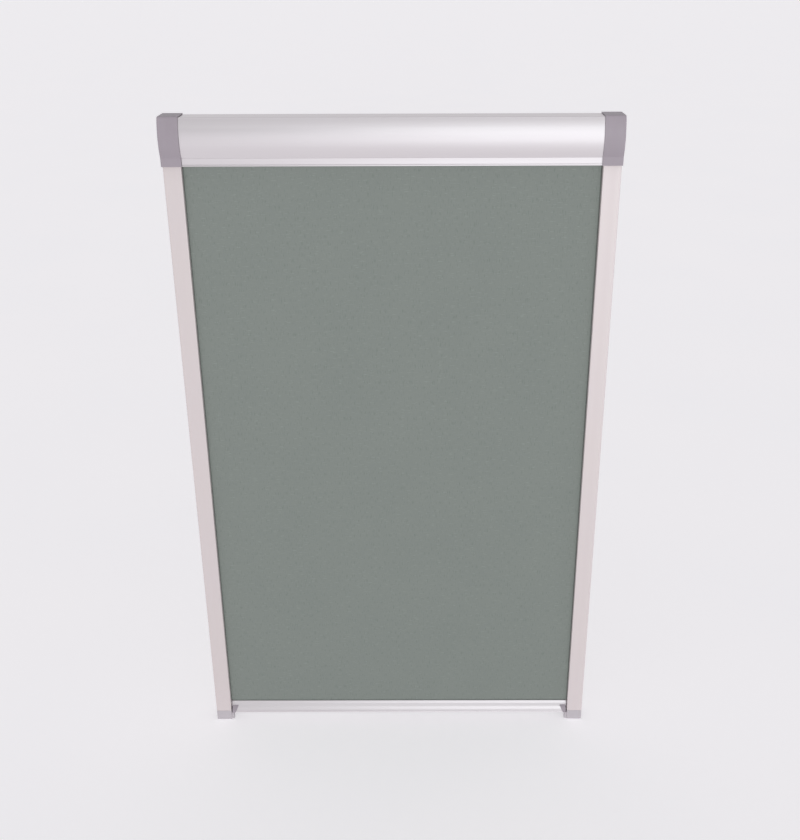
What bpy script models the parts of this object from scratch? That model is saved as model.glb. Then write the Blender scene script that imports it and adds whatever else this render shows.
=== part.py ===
"""Skylight window blind: cassette, spring roller, fabric, side channels, feet and pull bar.

Metres, +Z up. The room side faces -Y. The origin lies on the cassette's flat back face, 30 mm above its
lower edge.
The blind is modelled closed, with the pull bar on the stops of its feet.
"""

import math

import bmesh
import bpy
from mathutils import Matrix, Vector

# Overall size
WIDTH = 0.615
HEIGHT = 0.990
HALF_WIDTH = WIDTH / 2
GAP = 0.0003

# Cassette and its end caps
CASSETTE_TOP = 0.035
CASSETTE_BOTTOM = -0.030
CASSETTE_DEPTH = 0.041
CAP_WIDTH = 0.0276
CAP_WALL = 0.0013
CAP_END_WALL = 0.0016
CROWN_RADIUS = 0.070
CORNER_RADIUS = 0.004
CROWN_MIDDLE_Z = 0.0055
BAND_TOP = -0.0190
FASCIA_WALL = 0.0013
HOUSING_WALL = 0.0016
FASCIA_INSET = CAP_WALL + GAP
CASSETTE_HALF_LENGTH = 0.2997
SCREW_PORT_RADIUS = 0.00145
HOUSING_PORTS = ((-0.0045, 0.0289), (-0.0045, -0.0255))
FASCIA_PORT = (-0.0308, -0.0258)
CAP_SCREW_PLACES = ((-0.0120, 0.0210), (-0.0300, -0.0120))
BACK_HOLE_PLACES = (-0.250, -0.090, 0.090, 0.250)
BACK_HOLE_Z = 0.0130
BACK_HOLE_RADIUS = 0.00225
END_PLATE_IN = 0.3000
END_PLATE_OUT = 0.3020

# Roller
ROLLER_Y = -0.0225
TUBE_RADIUS = 0.0110
TUBE_WALL = 0.0010
TUBE_HALF_LENGTH = 0.2940
GROOVE_WIDTH = 0.0024
GROOVE_DEPTH = 0.0014
ROLL_RADIUS = 0.0119
PLUG_RADIUS = 0.00965
PLUG_LENGTH = 0.0300
COLLAR_WIDTH = 0.0020
SPINDLE_RADIUS = 0.0040
SPINDLE_BORE = 0.0044
SPINDLE_INNER_END = -0.060
IDLER_PIN_RADIUS = 0.0025
IDLER_BORE = 0.0029
SPRING_WIRE_RADIUS = 0.0006
SPRING_RADIUS = 0.0066
SPRING_PITCH = 0.0070

# Side channels and feet
CHANNEL_FACE = 0.025
CHANNEL_DEPTH = 0.028
CHANNEL_WALL = 0.0015
CHANNEL_PORTS = ((0.0044, 0.0044), (0.0044, 0.0236))
CHANNEL_HOLE_RADIUS = 0.0021
CHANNEL_HOLE_HEIGHTS = (0.090, 0.490, 0.890)
FOOT_HEIGHT = 0.018
SOLE_Z = CASSETTE_TOP - HEIGHT

# Fabric
FABRIC_Y = -0.0165
FABRIC_HALF_WIDTH = 0.2940
FABRIC_THICKNESS = 0.00045
FABRIC_BEND_Z = -0.0240
FABRIC_HEM_HALF_WIDTH = 0.2810

# Pull bar, with heights measured from the soles of the feet
BAR_HALF_LENGTH = 0.2816
GRIP_HALF_LENGTH = 0.2788
BAR_TOP = 0.0315
BAR_REAR = -0.0130
BAR_FLANGE_TOP = -0.0188
BAR_UNDERSIDE = 0.0142
BAR_FLOOR = 0.0170
BAR_HOLLOW_TOP = 0.0216
CLAMP_RADIUS = 0.0023
CLAMP_HEIGHT = 0.0252
CLAMP_SLOT = 0.0013
GRIP = (
    (-0.0200, 0.0290),
    (-0.0207, 0.0277),
    (-0.0224, 0.0262),
    (-0.0244, 0.0246),
    (-0.0260, 0.0228),
    (-0.0272, 0.0204),
    (-0.0278, 0.0186),
    (-0.0280, 0.0159),
    (-0.0280, 0.0149),
    (-0.0276, 0.0142),
)
GRIP_GROOVE = ((-0.0278, 0.0182), (-0.0270, 0.0179), (-0.0270, 0.0175), (-0.0274, 0.0172))
GRIP_SLOPE = 0.8
GRIP_NOTCH = -0.0230
BAR_CAP_OUT = 0.2806

ROUND = 24
FINE_ROUND = 40


def clear_scene():
    for obj in list(bpy.data.objects):
        bpy.data.objects.remove(obj)


def new_collection(name):
    collection = bpy.data.collections.new(name)
    bpy.context.scene.collection.children.link(collection)
    return collection


def finish(name, red, green, blue, roughness, metallic):
    """A plain finish from the colour, roughness and metallic value of a real surface."""
    material = bpy.data.materials.new(name)
    material.use_nodes = True
    shader = material.node_tree.nodes["Principled BSDF"]
    shader.inputs["Base Color"].default_value = (red, green, blue, 1.0)
    shader.inputs["Roughness"].default_value = roughness
    shader.inputs["Metallic"].default_value = metallic
    return material


clear_scene()
PARTS = new_collection("skylight_window_blind")
CUTTERS = new_collection("cutters")

ROLLER_AXIS = bpy.data.objects.new("roller_axis", None)
ROLLER_AXIS.location = (0.0, ROLLER_Y, 0.0)
BAR_AXIS = bpy.data.objects.new("bar_slide_axis", None)
BAR_AXIS.location = (0.0, FABRIC_Y, SOLE_Z + CLAMP_HEIGHT)
for axis in (ROLLER_AXIS, BAR_AXIS):
    PARTS.objects.link(axis)
bpy.context.view_layer.update()


def place(obj, material, carrier=None):
    """Puts a piece in the parts collection with its own material, on the empty that carries it."""
    for collection in list(obj.users_collection):
        collection.objects.unlink(obj)
    PARTS.objects.link(obj)
    obj.data.materials.clear()
    obj.data.materials.append(material)
    if carrier:
        obj.parent = carrier
        obj.matrix_parent_inverse = carrier.matrix_world.inverted()
    return obj


def hide_cutter(obj):
    for collection in list(obj.users_collection):
        collection.objects.unlink(obj)
    CUTTERS.objects.link(obj)
    obj.hide_render = True
    obj.display_type = "WIRE"


def arc(centre, radius, start, end, count):
    """Points on a circle from one angle to another, in degrees, both ends included."""
    angles = [math.radians(start + (end - start) * i / count) for i in range(count + 1)]
    return [(centre[0] + radius * math.cos(a), centre[1] + radius * math.sin(a)) for a in angles]


def circle(centre, radius, count=ROUND):
    return arc(centre, radius, 0.0, 360.0, count)[:-1]


def offset(points, distance):
    """An open outline moved sideways by a distance, to the left of its direction, with mitred corners."""
    moved = []
    for i, point in enumerate(points):
        before = Vector(points[max(i - 1, 0)])
        here = Vector(point)
        after = Vector(points[min(i + 1, len(points) - 1)])
        first = (here - before).normalized() if i else (after - here).normalized()
        second = (after - here).normalized() if i < len(points) - 1 else first
        bisector = Vector((-first.y - second.y, first.x + second.x)).normalized()
        reach = distance / max(bisector.dot(Vector((-first.y, first.x))), 0.5)
        moved.append(tuple(here + bisector * reach))
    return moved


SECTION_TURNS = {
    "X": Matrix(((0, 0, 1, 0), (1, 0, 0, 0), (0, 1, 0, 0), (0, 0, 0, 1))),
    "Y": Matrix(((1, 0, 0, 0), (0, 0, -1, 0), (0, 1, 0, 0), (0, 0, 0, 1))),
    "Z": Matrix.Identity(4),
}


def extrusion(name, axis, loops, low, high):
    """A section extruded along X, Y or Z between two places, made a closed mesh.

    The section's points are (y, z) for X, (x, z) for Y and (x, y) for Z. The first loop is the outline
    and the others are holes.
    """
    curve = bpy.data.curves.new(name, "CURVE")
    curve.dimensions = "2D"
    curve.fill_mode = "BOTH"
    curve.extrude = (high - low) / 2
    for loop in loops:
        spline = curve.splines.new("POLY")
        spline.points.add(len(loop) - 1)
        for point, (u, v) in zip(spline.points, loop):
            point.co = (u, v, 0.0, 1.0)
        spline.use_cyclic_u = True
    flat = bpy.data.objects.new(name + "_outline", curve)
    PARTS.objects.link(flat)
    middle = {"X": ((low + high) / 2, 0, 0), "Y": (0, (low + high) / 2, 0), "Z": (0, 0, (low + high) / 2)}
    flat.matrix_world = Matrix.Translation(middle[axis]) @ SECTION_TURNS[axis]
    bpy.context.view_layer.update()
    evaluated = flat.evaluated_get(bpy.context.evaluated_depsgraph_get())
    mesh = bpy.data.meshes.new_from_object(evaluated)
    solid = bpy.data.objects.new(name, mesh)
    solid.matrix_world = flat.matrix_world.copy()
    weld(mesh)
    bpy.data.objects.remove(flat)
    PARTS.objects.link(solid)
    return solid


def weld(mesh):
    body = bmesh.new()
    body.from_mesh(mesh)
    bmesh.ops.remove_doubles(body, verts=body.verts, dist=0.000001)
    bmesh.ops.recalc_face_normals(body, faces=body.faces)
    body.to_mesh(mesh)
    body.free()


def box(name, low, high):
    """A box between two corners, from the cube primitive with its scale applied."""
    bpy.ops.mesh.primitive_cube_add(size=1.0)
    obj = bpy.context.active_object
    obj.name = name
    size = Vector(high) - Vector(low)
    obj.data.transform(Matrix.Diagonal((*size, 1.0)))
    obj.location = (Vector(high) + Vector(low)) / 2
    return obj


def turn_to(direction):
    return Vector((0, 0, 1)).rotation_difference(Vector(direction)).to_euler()


def cylinder(name, radius, start, direction, length, count=ROUND):
    """A cylinder that starts at a place and runs along a direction."""
    bpy.ops.mesh.primitive_cylinder_add(
        vertices=count,
        radius=radius,
        depth=length,
        location=Vector(start) + Vector(direction) * length / 2,
        rotation=turn_to(direction),
    )
    obj = bpy.context.active_object
    obj.name = name
    return obj


def turned(name, profile, start, direction, count=ROUND):
    """A turned solid, made with a Screw.

    The profile holds (radius, distance along the direction), from its far end back.
    """
    mesh = bpy.data.meshes.new(name)
    mesh.from_pydata(
        [(radius, 0.0, along) for radius, along in profile],
        [(i, i + 1) for i in range(len(profile) - 1)],
        [],
    )
    obj = bpy.data.objects.new(name, mesh)
    obj.location = start
    obj.rotation_euler = turn_to(direction)
    PARTS.objects.link(obj)
    screw_turn = obj.modifiers.new("turn", "SCREW")
    screw_turn.steps = count
    screw_turn.render_steps = count
    screw_turn.use_merge_vertices = True
    screw_turn.merge_threshold = 0.000001
    return obj


def combine(target, other, operation):
    """A Boolean modifier with a second solid, which becomes a hidden cutter."""
    modifier = target.modifiers.new(other.name, "BOOLEAN")
    modifier.operation = operation
    modifier.solver = "EXACT"
    modifier.object = other
    hide_cutter(other)


def cut(target, *others):
    for other in others:
        combine(target, other, "DIFFERENCE")


def join(target, *others):
    for other in others:
        combine(target, other, "UNION")


def drill(target, name, radius, places, direction, length):
    """Round holes, each starting at a place and running along a direction."""
    for number, start in enumerate(places, 1):
        cut(target, cylinder(f"{name}_{number}", radius, start, direction, length))


def drill_with_seat(target, name, radius, seat_radius, seat_depth, places, direction, length):
    """Screw holes with a wider seat for the head at their start."""
    profile = [(0, length), (radius, length), (radius, seat_depth), (seat_radius, seat_depth)]
    profile += [(seat_radius, 0), (0, 0)]
    for number, start in enumerate(places, 1):
        cut(target, turned(f"{name}_{number}", profile, start, direction))


def screw(name, start, direction, head_radius, head_height, shank_radius, length):
    """A pan-head screw: it starts where the head meets the piece, and the direction runs down the shank."""
    recess_radius = head_radius * 0.4
    recess_floor = -head_height * 0.45
    profile = (
        (0, length),
        (shank_radius * 0.4, length),
        (shank_radius, length * 0.9),
        (shank_radius, 0),
        (head_radius, 0),
        (head_radius, -head_height * 0.5),
        (head_radius * 0.8, -head_height),
        (recess_radius, -head_height),
        (recess_radius, recess_floor),
        (0, recess_floor),
    )
    return turned(name, profile, start, direction, 12)


ALUMINIUM = finish("satin_aluminium", 0.71, 0.67, 0.71, 0.38, 1.0)
GREY_PLASTIC = finish("grey_cap_plastic", 0.38, 0.34, 0.39, 0.45, 0.0)
FOOT_PLASTIC = finish("grey_foot_plastic", 0.50, 0.49, 0.54, 0.5, 0.0)
WHITE_PLASTIC = finish("natural_acetal", 0.80, 0.79, 0.75, 0.45, 0.0)
STEEL = finish("zinc_plated_steel", 0.60, 0.60, 0.61, 0.35, 1.0)
SPRING_STEEL = finish("spring_steel", 0.42, 0.42, 0.44, 0.3, 1.0)
TUBE_ALUMINIUM = finish("mill_aluminium", 0.75, 0.75, 0.76, 0.4, 1.0)
PILE = finish("grey_pile", 0.22, 0.22, 0.23, 0.95, 0.0)
FELT = finish("dark_felt", 0.10, 0.10, 0.11, 0.95, 0.0)
CLOTH = finish("blackout_cloth", 0.23, 0.26, 0.24, 0.9, 0.0)


def crown_y(inset, z):
    """The crowned front's Y at a height, for a wall that lies an inset behind the caps' front."""
    radius = CROWN_RADIUS - inset
    return CROWN_RADIUS - CASSETTE_DEPTH - math.sqrt(radius**2 - (z - CROWN_MIDDLE_Z) ** 2)


def crowned_front(inset, top_z=None, low_z=BAND_TOP, count=12):
    """The outline from the top edge round the front corner and down the crown, as (y, z) points."""
    crown_centre = (CROWN_RADIUS - CASSETTE_DEPTH, CROWN_MIDDLE_Z)
    radius = CROWN_RADIUS - inset
    corner = CORNER_RADIUS - inset
    corner_z = CASSETTE_TOP - CORNER_RADIUS
    rise = corner_z - crown_centre[1]
    corner_y = crown_centre[0] - math.sqrt((radius - corner) ** 2 - rise**2)
    meeting = math.degrees(math.atan2(rise, crown_centre[0] - corner_y))
    high = meeting
    points = arc((corner_y, corner_z), corner, 90.0, 180.0 - meeting, 5)
    if top_z is not None:
        high = math.degrees(math.asin((top_z - CROWN_MIDDLE_Z) / radius))
        points = []
    low = math.degrees(math.asin((low_z - CROWN_MIDDLE_Z) / radius))
    crown = arc(crown_centre, radius, 180.0 - high, 180.0 - low, count)
    return points + (crown[1:] if points else crown)


# Cassette housing: one aluminium extrusion for the back, the top and the rear lip
def cassette_housing():
    hook_rear = -0.0284
    hook_front = -0.0300
    port = 0.0074
    lip_rear = -0.0116
    lip_front = -0.0132
    top = CASSETTE_TOP - FASCIA_INSET
    under_top = top - HOUSING_WALL
    floor = CASSETTE_BOTTOM + HOUSING_WALL
    outline = [
        (0, CASSETTE_BOTTOM),
        (0, top),
        (hook_front, top),
        (hook_front, 0.0272),
        (hook_rear, 0.0272),
        (hook_rear, under_top),
        (-port, under_top),
        (-port, 0.0260),
        (-HOUSING_WALL, 0.0260),
        (-HOUSING_WALL, -0.0226),
        (-port, -0.0226),
        (-port, floor),
        (lip_rear, floor),
        (lip_rear, -0.0225),
        (lip_front, -0.0225),
        (lip_front, CASSETTE_BOTTOM),
    ]
    ports = [circle(spot, SCREW_PORT_RADIUS, 12) for spot in HOUSING_PORTS]
    housing = extrusion(
        "cassette_housing", "X", [outline] + ports, -CASSETTE_HALF_LENGTH, CASSETTE_HALF_LENGTH
    )
    places = [(x, 0.001, BACK_HOLE_Z) for x in BACK_HOLE_PLACES]
    drill(housing, "back_holes", BACK_HOLE_RADIUS, places, (0, -1, 0), 0.004)
    place(housing, ALUMINIUM)
    felt = [
        (-0.0134, -0.0296),
        (-0.0159, -0.0296),
        (-0.0159, -0.0246),
        (-0.0150, -0.0228),
        (-0.0134, -0.0228),
    ]
    place(extrusion("guide_felt", "X", [felt], -0.2990, 0.2990), FELT)


# Cassette fascia: one aluminium extrusion for the crowned front, its lower band and the bottom flange
def cassette_fascia():
    inner = FASCIA_INSET + FASCIA_WALL
    band = crown_y(FASCIA_INSET, BAND_TOP) + 0.0004
    bottom = CASSETTE_BOTTOM
    floor = bottom + FASCIA_WALL
    seam = -0.0303
    hook_rear = -0.0262
    hook_front = -0.0275
    pile_face = -0.0195
    outline = [(seam, CASSETTE_TOP - FASCIA_INSET)]
    outline += crowned_front(FASCIA_INSET)
    outline += [
        (band, BAND_TOP - 0.0003),
        (band, -0.0274),
        (band + 0.0003, -0.0275),
        (band + 0.0003, -0.0277),
        (band - 0.0002, -0.0281),
        (band - 0.0005, -0.0296),
        (band - 0.0001, bottom),
        (pile_face, bottom),
        (pile_face, -0.0275),
        (pile_face - 0.0008, -0.0275),
        (pile_face - 0.0008, -0.0290),
        (pile_face - 0.0020, -0.0290),
        (pile_face - 0.0020, -0.0226),
        (pile_face - 0.0008, -0.0226),
        (pile_face - 0.0008, -0.0241),
        (pile_face, -0.0241),
        (pile_face, -0.0216),
        (pile_face - 0.0030, -0.0216),
        (pile_face - 0.0030, floor),
        (-0.0280, floor),
        (-0.0280, -0.0229),
        (band + FASCIA_WALL, -0.0229),
        (band + FASCIA_WALL, BAND_TOP - 0.0003),
    ]
    outline += reversed(crowned_front(inner, top_z=0.0252, count=10))
    outline += [
        (hook_rear, 0.0252),
        (hook_rear, 0.0305),
        (hook_front, 0.0305),
        (hook_front, 0.0265),
        (crown_y(inner, 0.0265), 0.0265),
    ]
    outline += reversed(crowned_front(inner, low_z=0.0265, count=2)[:-1])
    outline += [(seam, CASSETTE_TOP - inner)]
    port = circle(FASCIA_PORT, SCREW_PORT_RADIUS, 12)
    fascia = extrusion(
        "cassette_fascia", "X", [outline, port], -CASSETTE_HALF_LENGTH, CASSETTE_HALF_LENGTH
    )
    place(fascia, ALUMINIUM)
    pile = pile_section(0.00335)
    section = [(pile_face + reach, -0.0258 + across) for across, reach in pile]
    place(extrusion("fascia_pile", "X", [section], -0.2990, 0.2990), PILE)


def pile_section(height):
    """A pile strip's section: a backing in its groove and a tuft that stands out of the groove's mouth.

    The points are (place across the strip, distance out of the groove's face).
    """
    tuft = height - 0.0009
    return [
        (-0.0029, -0.00175),
        (0.0029, -0.00175),
        (0.0029, -0.00105),
        (0.0014, -0.00105),
        (0.0014, tuft),
        (-0.0014, tuft),
        (-0.0014, -0.00105),
        (-0.0029, -0.00105),
    ]


def end_outline(inset, back, bottom):
    """The closed outline of a cassette end: back, top, crowned front, band and bottom."""
    band = crown_y(inset, BAND_TOP)
    outline = [(back, CASSETTE_TOP - inset)]
    outline += crowned_front(inset)
    outline += [(band, bottom), (back, bottom)]
    return outline


# End plates: steel blanks that close the extrusions and carry the roller
def end_plate(side):
    name = "left" if side < 0 else "right"
    low, high = sorted((side * END_PLATE_IN, side * END_PLATE_OUT))
    outline = end_outline(FASCIA_INSET + 0.0002, 0.0, -0.0297)
    holes = [circle(spot, 0.0016, 12) for spot in (*HOUSING_PORTS, FASCIA_PORT)]
    holes += [circle(spot, 0.00155, 12) for spot in CAP_SCREW_PLACES]
    if side < 0:
        corners = ((-1, -1), (1, -1), (1, 1), (-1, 1))
        holes.append([(ROLLER_Y + u * 0.00235, v * 0.00385) for u, v in corners])
    else:
        holes.append(circle((ROLLER_Y, 0.0), 0.0048))
    plate = extrusion(f"end_plate_{name}", "X", [outline] + holes, low, high)
    place(plate, STEEL)
    for where, (y, z) in zip(("top", "bottom", "front"), (*HOUSING_PORTS, FASCIA_PORT)):
        head = (side * (END_PLATE_OUT + GAP), y, z)
        fastener = screw(
            f"end_plate_screw_{where}_{name}", head, (-side, 0, 0), 0.0027, 0.0019, 0.0012, 0.0130
        )
        place(fastener, STEEL)


# End caps: grey mouldings, open at the back and below, that slip over the cassette's ends
def end_cap(side):
    name = "left" if side < 0 else "right"
    inner_edge = side * (HALF_WIDTH - CAP_WIDTH)
    outer_face = side * HALF_WIDTH
    low, high = sorted((inner_edge, outer_face))
    cap = extrusion(f"end_cap_{name}", "X", [end_outline(0.0, 0.0, CASSETTE_BOTTOM)], low, high)
    low, high = sorted((inner_edge - side * 0.001, outer_face - side * CAP_END_WALL))
    hollow_outline = end_outline(CAP_WALL, 0.001, CASSETTE_BOTTOM - 0.001)
    hollow = extrusion(f"cap_hollow_{name}", "X", [hollow_outline], low, high)
    cut(cap, hollow)
    inwards = (-side, 0, 0)
    for where, (y, z) in zip(("upper", "lower"), CAP_SCREW_PLACES):
        boss_start = (outer_face - side * CAP_END_WALL / 2, y, z)
        join(cap, cylinder(f"cap_boss_{where}_{name}", 0.0036, boss_start, inwards, 0.0044))
        head = (outer_face - side * 0.0017, y, z)
        fastener = screw(
            f"end_cap_screw_{where}_{name}", head, inwards, 0.0027, 0.0016, 0.0012, 0.0066
        )
        place(fastener, STEEL)
    starts = [(outer_face + side * 0.001, y, z) for y, z in CAP_SCREW_PLACES]
    drill_with_seat(cap, f"cap_screw_hole_{name}", 0.0016, 0.0031, 0.0030, starts, inwards, 0.009)
    place(cap, GREY_PLASTIC)


def groove_walls(radius, half_width):
    """The angle, in degrees, at which a slot's wall meets a circle."""
    return math.degrees(math.asin(half_width / radius))


def notched_circle(radius, half_width, floor_radius, count=FINE_ROUND):
    """A circle about the roller's axis with a straight-sided notch at the top."""
    opening = groove_walls(radius, half_width)
    points = arc((ROLLER_Y, 0.0), radius, 90.0 + opening, 450.0 - opening, count)
    return points + [(ROLLER_Y + half_width, floor_radius), (ROLLER_Y - half_width, floor_radius)]


def ring_x(name, outer, bore, low, high, count=ROUND):
    centre = (ROLLER_Y, 0.0)
    return extrusion(name, "X", [circle(centre, outer, count), circle(centre, bore, count)], low, high)


# Roller: an aluminium tube with the fabric locked in its groove
def roller():
    outer = notched_circle(TUBE_RADIUS, GROOVE_WIDTH / 2, TUBE_RADIUS - GROOVE_DEPTH)
    inner = notched_circle(
        TUBE_RADIUS - TUBE_WALL,
        GROOVE_WIDTH / 2 + TUBE_WALL,
        TUBE_RADIUS - GROOVE_DEPTH - TUBE_WALL,
    )
    tube = extrusion("roller_tube", "X", [outer, inner], -TUBE_HALF_LENGTH, TUBE_HALF_LENGTH)
    place(tube, TUBE_ALUMINIUM, ROLLER_AXIS)
    half = GROOVE_WIDTH / 2 - GAP
    low = TUBE_RADIUS - GROOVE_DEPTH + GAP
    high = TUBE_RADIUS - 0.0001
    strip = [(ROLLER_Y + u * half, v) for u, v in ((-1, low), (1, low), (1, high), (-1, high))]
    spline = extrusion("roller_spline", "X", [strip], -TUBE_HALF_LENGTH, TUBE_HALF_LENGTH)
    place(spline, WHITE_PLASTIC, ROLLER_AXIS)
    roll = ring_x(
        "fabric_roll",
        ROLL_RADIUS,
        TUBE_RADIUS + GAP,
        -FABRIC_HALF_WIDTH,
        FABRIC_HALF_WIDTH,
        FINE_ROUND,
    )
    place(roll, CLOTH, ROLLER_AXIS)


def keyed_plug(name, bore, low, high):
    """A plug that fits the tube, with a keyway over the groove's back and a round bore."""
    key_half = GROOVE_WIDTH / 2 + TUBE_WALL + 0.0004
    floor = TUBE_RADIUS - GROOVE_DEPTH - TUBE_WALL - 0.0005
    outline = notched_circle(PLUG_RADIUS, key_half, floor, ROUND)
    return extrusion(name, "X", [outline, circle((ROLLER_Y, 0.0), bore)], low, high)


# Drive side: a still spindle and spring inside the turning plug and tube
def spring_drive():
    plug_out = -TUBE_HALF_LENGTH - GAP
    drive_plug = keyed_plug("drive_plug", SPINDLE_BORE, plug_out - 0.0001, plug_out + PLUG_LENGTH)
    collar = ring_x("drive_collar", TUBE_RADIUS, SPINDLE_BORE, plug_out - COLLAR_WIDTH, plug_out)
    join(drive_plug, collar)
    place(drive_plug, WHITE_PLASTIC, ROLLER_AXIS)
    spindle = cylinder(
        "spring_spindle", SPINDLE_RADIUS, (SPINDLE_INNER_END, ROLLER_Y, 0.0), (-1, 0, 0), 0.239
    )
    blade_end = -END_PLATE_OUT - 0.0022
    blade_low = (blade_end, ROLLER_Y - 0.0020, -0.0035)
    blade = box("spindle_blade", blade_low, (-0.2980, ROLLER_Y + 0.0020, 0.0035))
    join(spindle, blade)
    place(spindle, STEEL)
    ring = arc((ROLLER_Y, 0.0), 0.0068, 20.0, 340.0, 18)
    ring += reversed(arc((ROLLER_Y, 0.0), 0.0043, 20.0, 340.0, 18))
    place(extrusion("spindle_circlip", "X", [ring], -0.2982, -0.2971), SPRING_STEEL)
    place(ring_x("spindle_collar", 0.0080, 0.0043, -0.0920, -0.0800), WHITE_PLASTIC)
    place(keyed_plug("spindle_bearing", SPINDLE_BORE, -0.0740, -0.0640), WHITE_PLASTIC, ROLLER_AXIS)
    torsion_spring(plug_out + PLUG_LENGTH + 0.0015, -0.0945)


def torsion_spring(low, high):
    """The counterbalance spring: a helix of round wire about the spindle."""
    per_turn = 8
    steps = int((high - low) / SPRING_PITCH * per_turn)
    curve = bpy.data.curves.new("torsion_spring", "CURVE")
    curve.dimensions = "3D"
    curve.bevel_depth = SPRING_WIRE_RADIUS
    curve.bevel_resolution = 1
    curve.use_fill_caps = True
    spline = curve.splines.new("POLY")
    spline.points.add(steps)
    for i, point in enumerate(spline.points):
        angle = 2 * math.pi * i / per_turn
        along = low + SPRING_PITCH * i / per_turn
        point.co = (along, SPRING_RADIUS * math.cos(angle), SPRING_RADIUS * math.sin(angle), 1.0)
    spring = bpy.data.objects.new("torsion_spring", curve)
    PARTS.objects.link(spring)
    spring.location = (0.0, ROLLER_Y, 0.0)
    place(spring, SPRING_STEEL)


# Idler side: a pin in the right plug turns in a bush in the end plate
def idler():
    plug_out = TUBE_HALF_LENGTH + GAP
    idler_plug = keyed_plug("idler_plug", IDLER_BORE, plug_out - PLUG_LENGTH, plug_out + 0.0001)
    collar = ring_x("idler_collar", TUBE_RADIUS, IDLER_BORE, plug_out, plug_out + COLLAR_WIDTH)
    join(idler_plug, collar)
    place(idler_plug, WHITE_PLASTIC, ROLLER_AXIS)
    pin_profile = ((0, 0.0350), (IDLER_PIN_RADIUS, 0.0350), (IDLER_PIN_RADIUS, 0.0004), (0.0021, 0), (0, 0))
    pin = turned("idler_pin", pin_profile, (0.3030, ROLLER_Y, 0.0), (-1, 0, 0))
    place(pin, STEEL, ROLLER_AXIS)
    bush_profile = (
        (IDLER_BORE, 0.0047),
        (0.0065, 0.0047),
        (0.0065, 0.0034),
        (0.0045, 0.0034),
        (0.0045, 0),
        (IDLER_BORE, 0),
        (IDLER_BORE, 0.0047),
    )
    bush = turned("idler_bush", bush_profile, (0.3031, ROLLER_Y, 0.0), (-1, 0, 0))
    place(bush, WHITE_PLASTIC)


def channel_point(side, across, forward):
    """A point of a side channel's section from its distances to the outer face and to the back."""
    return (side * (HALF_WIDTH - across), -forward)


def channel_section(side):
    """The C section: box walls, two screw ports, and two legs whose grooves hold the pile strips."""
    wall = CHANNEL_WALL
    face = CHANNEL_FACE
    depth = CHANNEL_DEPTH
    port = 0.0073
    leg_tip = 0.0164
    rear_leg = [
        (face, 0.0120),
        (0.0226, 0.0120),
        (0.0226, 0.0112),
        (0.0241, 0.0112),
        (0.0241, 0.0100),
        (0.0177, 0.0100),
        (0.0177, 0.0112),
        (0.0192, 0.0112),
        (0.0192, 0.0120),
        (leg_tip, 0.0120),
        (leg_tip, 0.0090),
    ]
    slot_middle = -FABRIC_Y
    front_leg = [(across, 2 * slot_middle - forward) for across, forward in reversed(rear_leg)]
    outline = [(0, 0), (face, 0)]
    outline += rear_leg
    outline += [
        (face - wall, 0.0090),
        (face - wall, wall),
        (port, wall),
        (port, port),
        (wall, port),
        (wall, depth - port),
        (port, depth - port),
        (port, depth - wall),
        (face - wall, depth - wall),
        (face - wall, 0.0240),
    ]
    outline += front_leg
    outline += arc((face - 0.0016, depth - 0.0016), 0.0016, 0.0, 90.0, 4)
    outline += arc((0.0010, depth - 0.0010), 0.0010, 90.0, 180.0, 3)
    return [channel_point(side, *point) for point in outline]


# Side channel: aluminium extrusion with its pile strips, foot and foot screws
def side_channel(side):
    name = "left" if side < 0 else "right"
    low = SOLE_Z + FOOT_HEIGHT
    high = CASSETTE_BOTTOM - GAP
    ports = [circle(channel_point(side, *spot), SCREW_PORT_RADIUS, 12) for spot in CHANNEL_PORTS]
    channel = extrusion(f"channel_{name}", "Z", [channel_section(side)] + ports, low, high)
    starts = [(side * (HALF_WIDTH + 0.001), FABRIC_Y, SOLE_Z + height) for height in CHANNEL_HOLE_HEIGHTS]
    drill(channel, f"channel_holes_{name}", CHANNEL_HOLE_RADIUS, starts, (-side, 0, 0), 0.004)
    place(channel, ALUMINIUM)
    for where, mouth, out in (("rear", 0.0120, 1), ("front", 0.0210, -1)):
        section = [
            channel_point(side, 0.0209 + across, mouth + out * reach)
            for across, reach in pile_section(0.0033)
        ]
        strip = extrusion(f"channel_pile_{where}_{name}", "Z", [section], low + GAP, high - GAP)
        place(strip, PILE)


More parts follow.
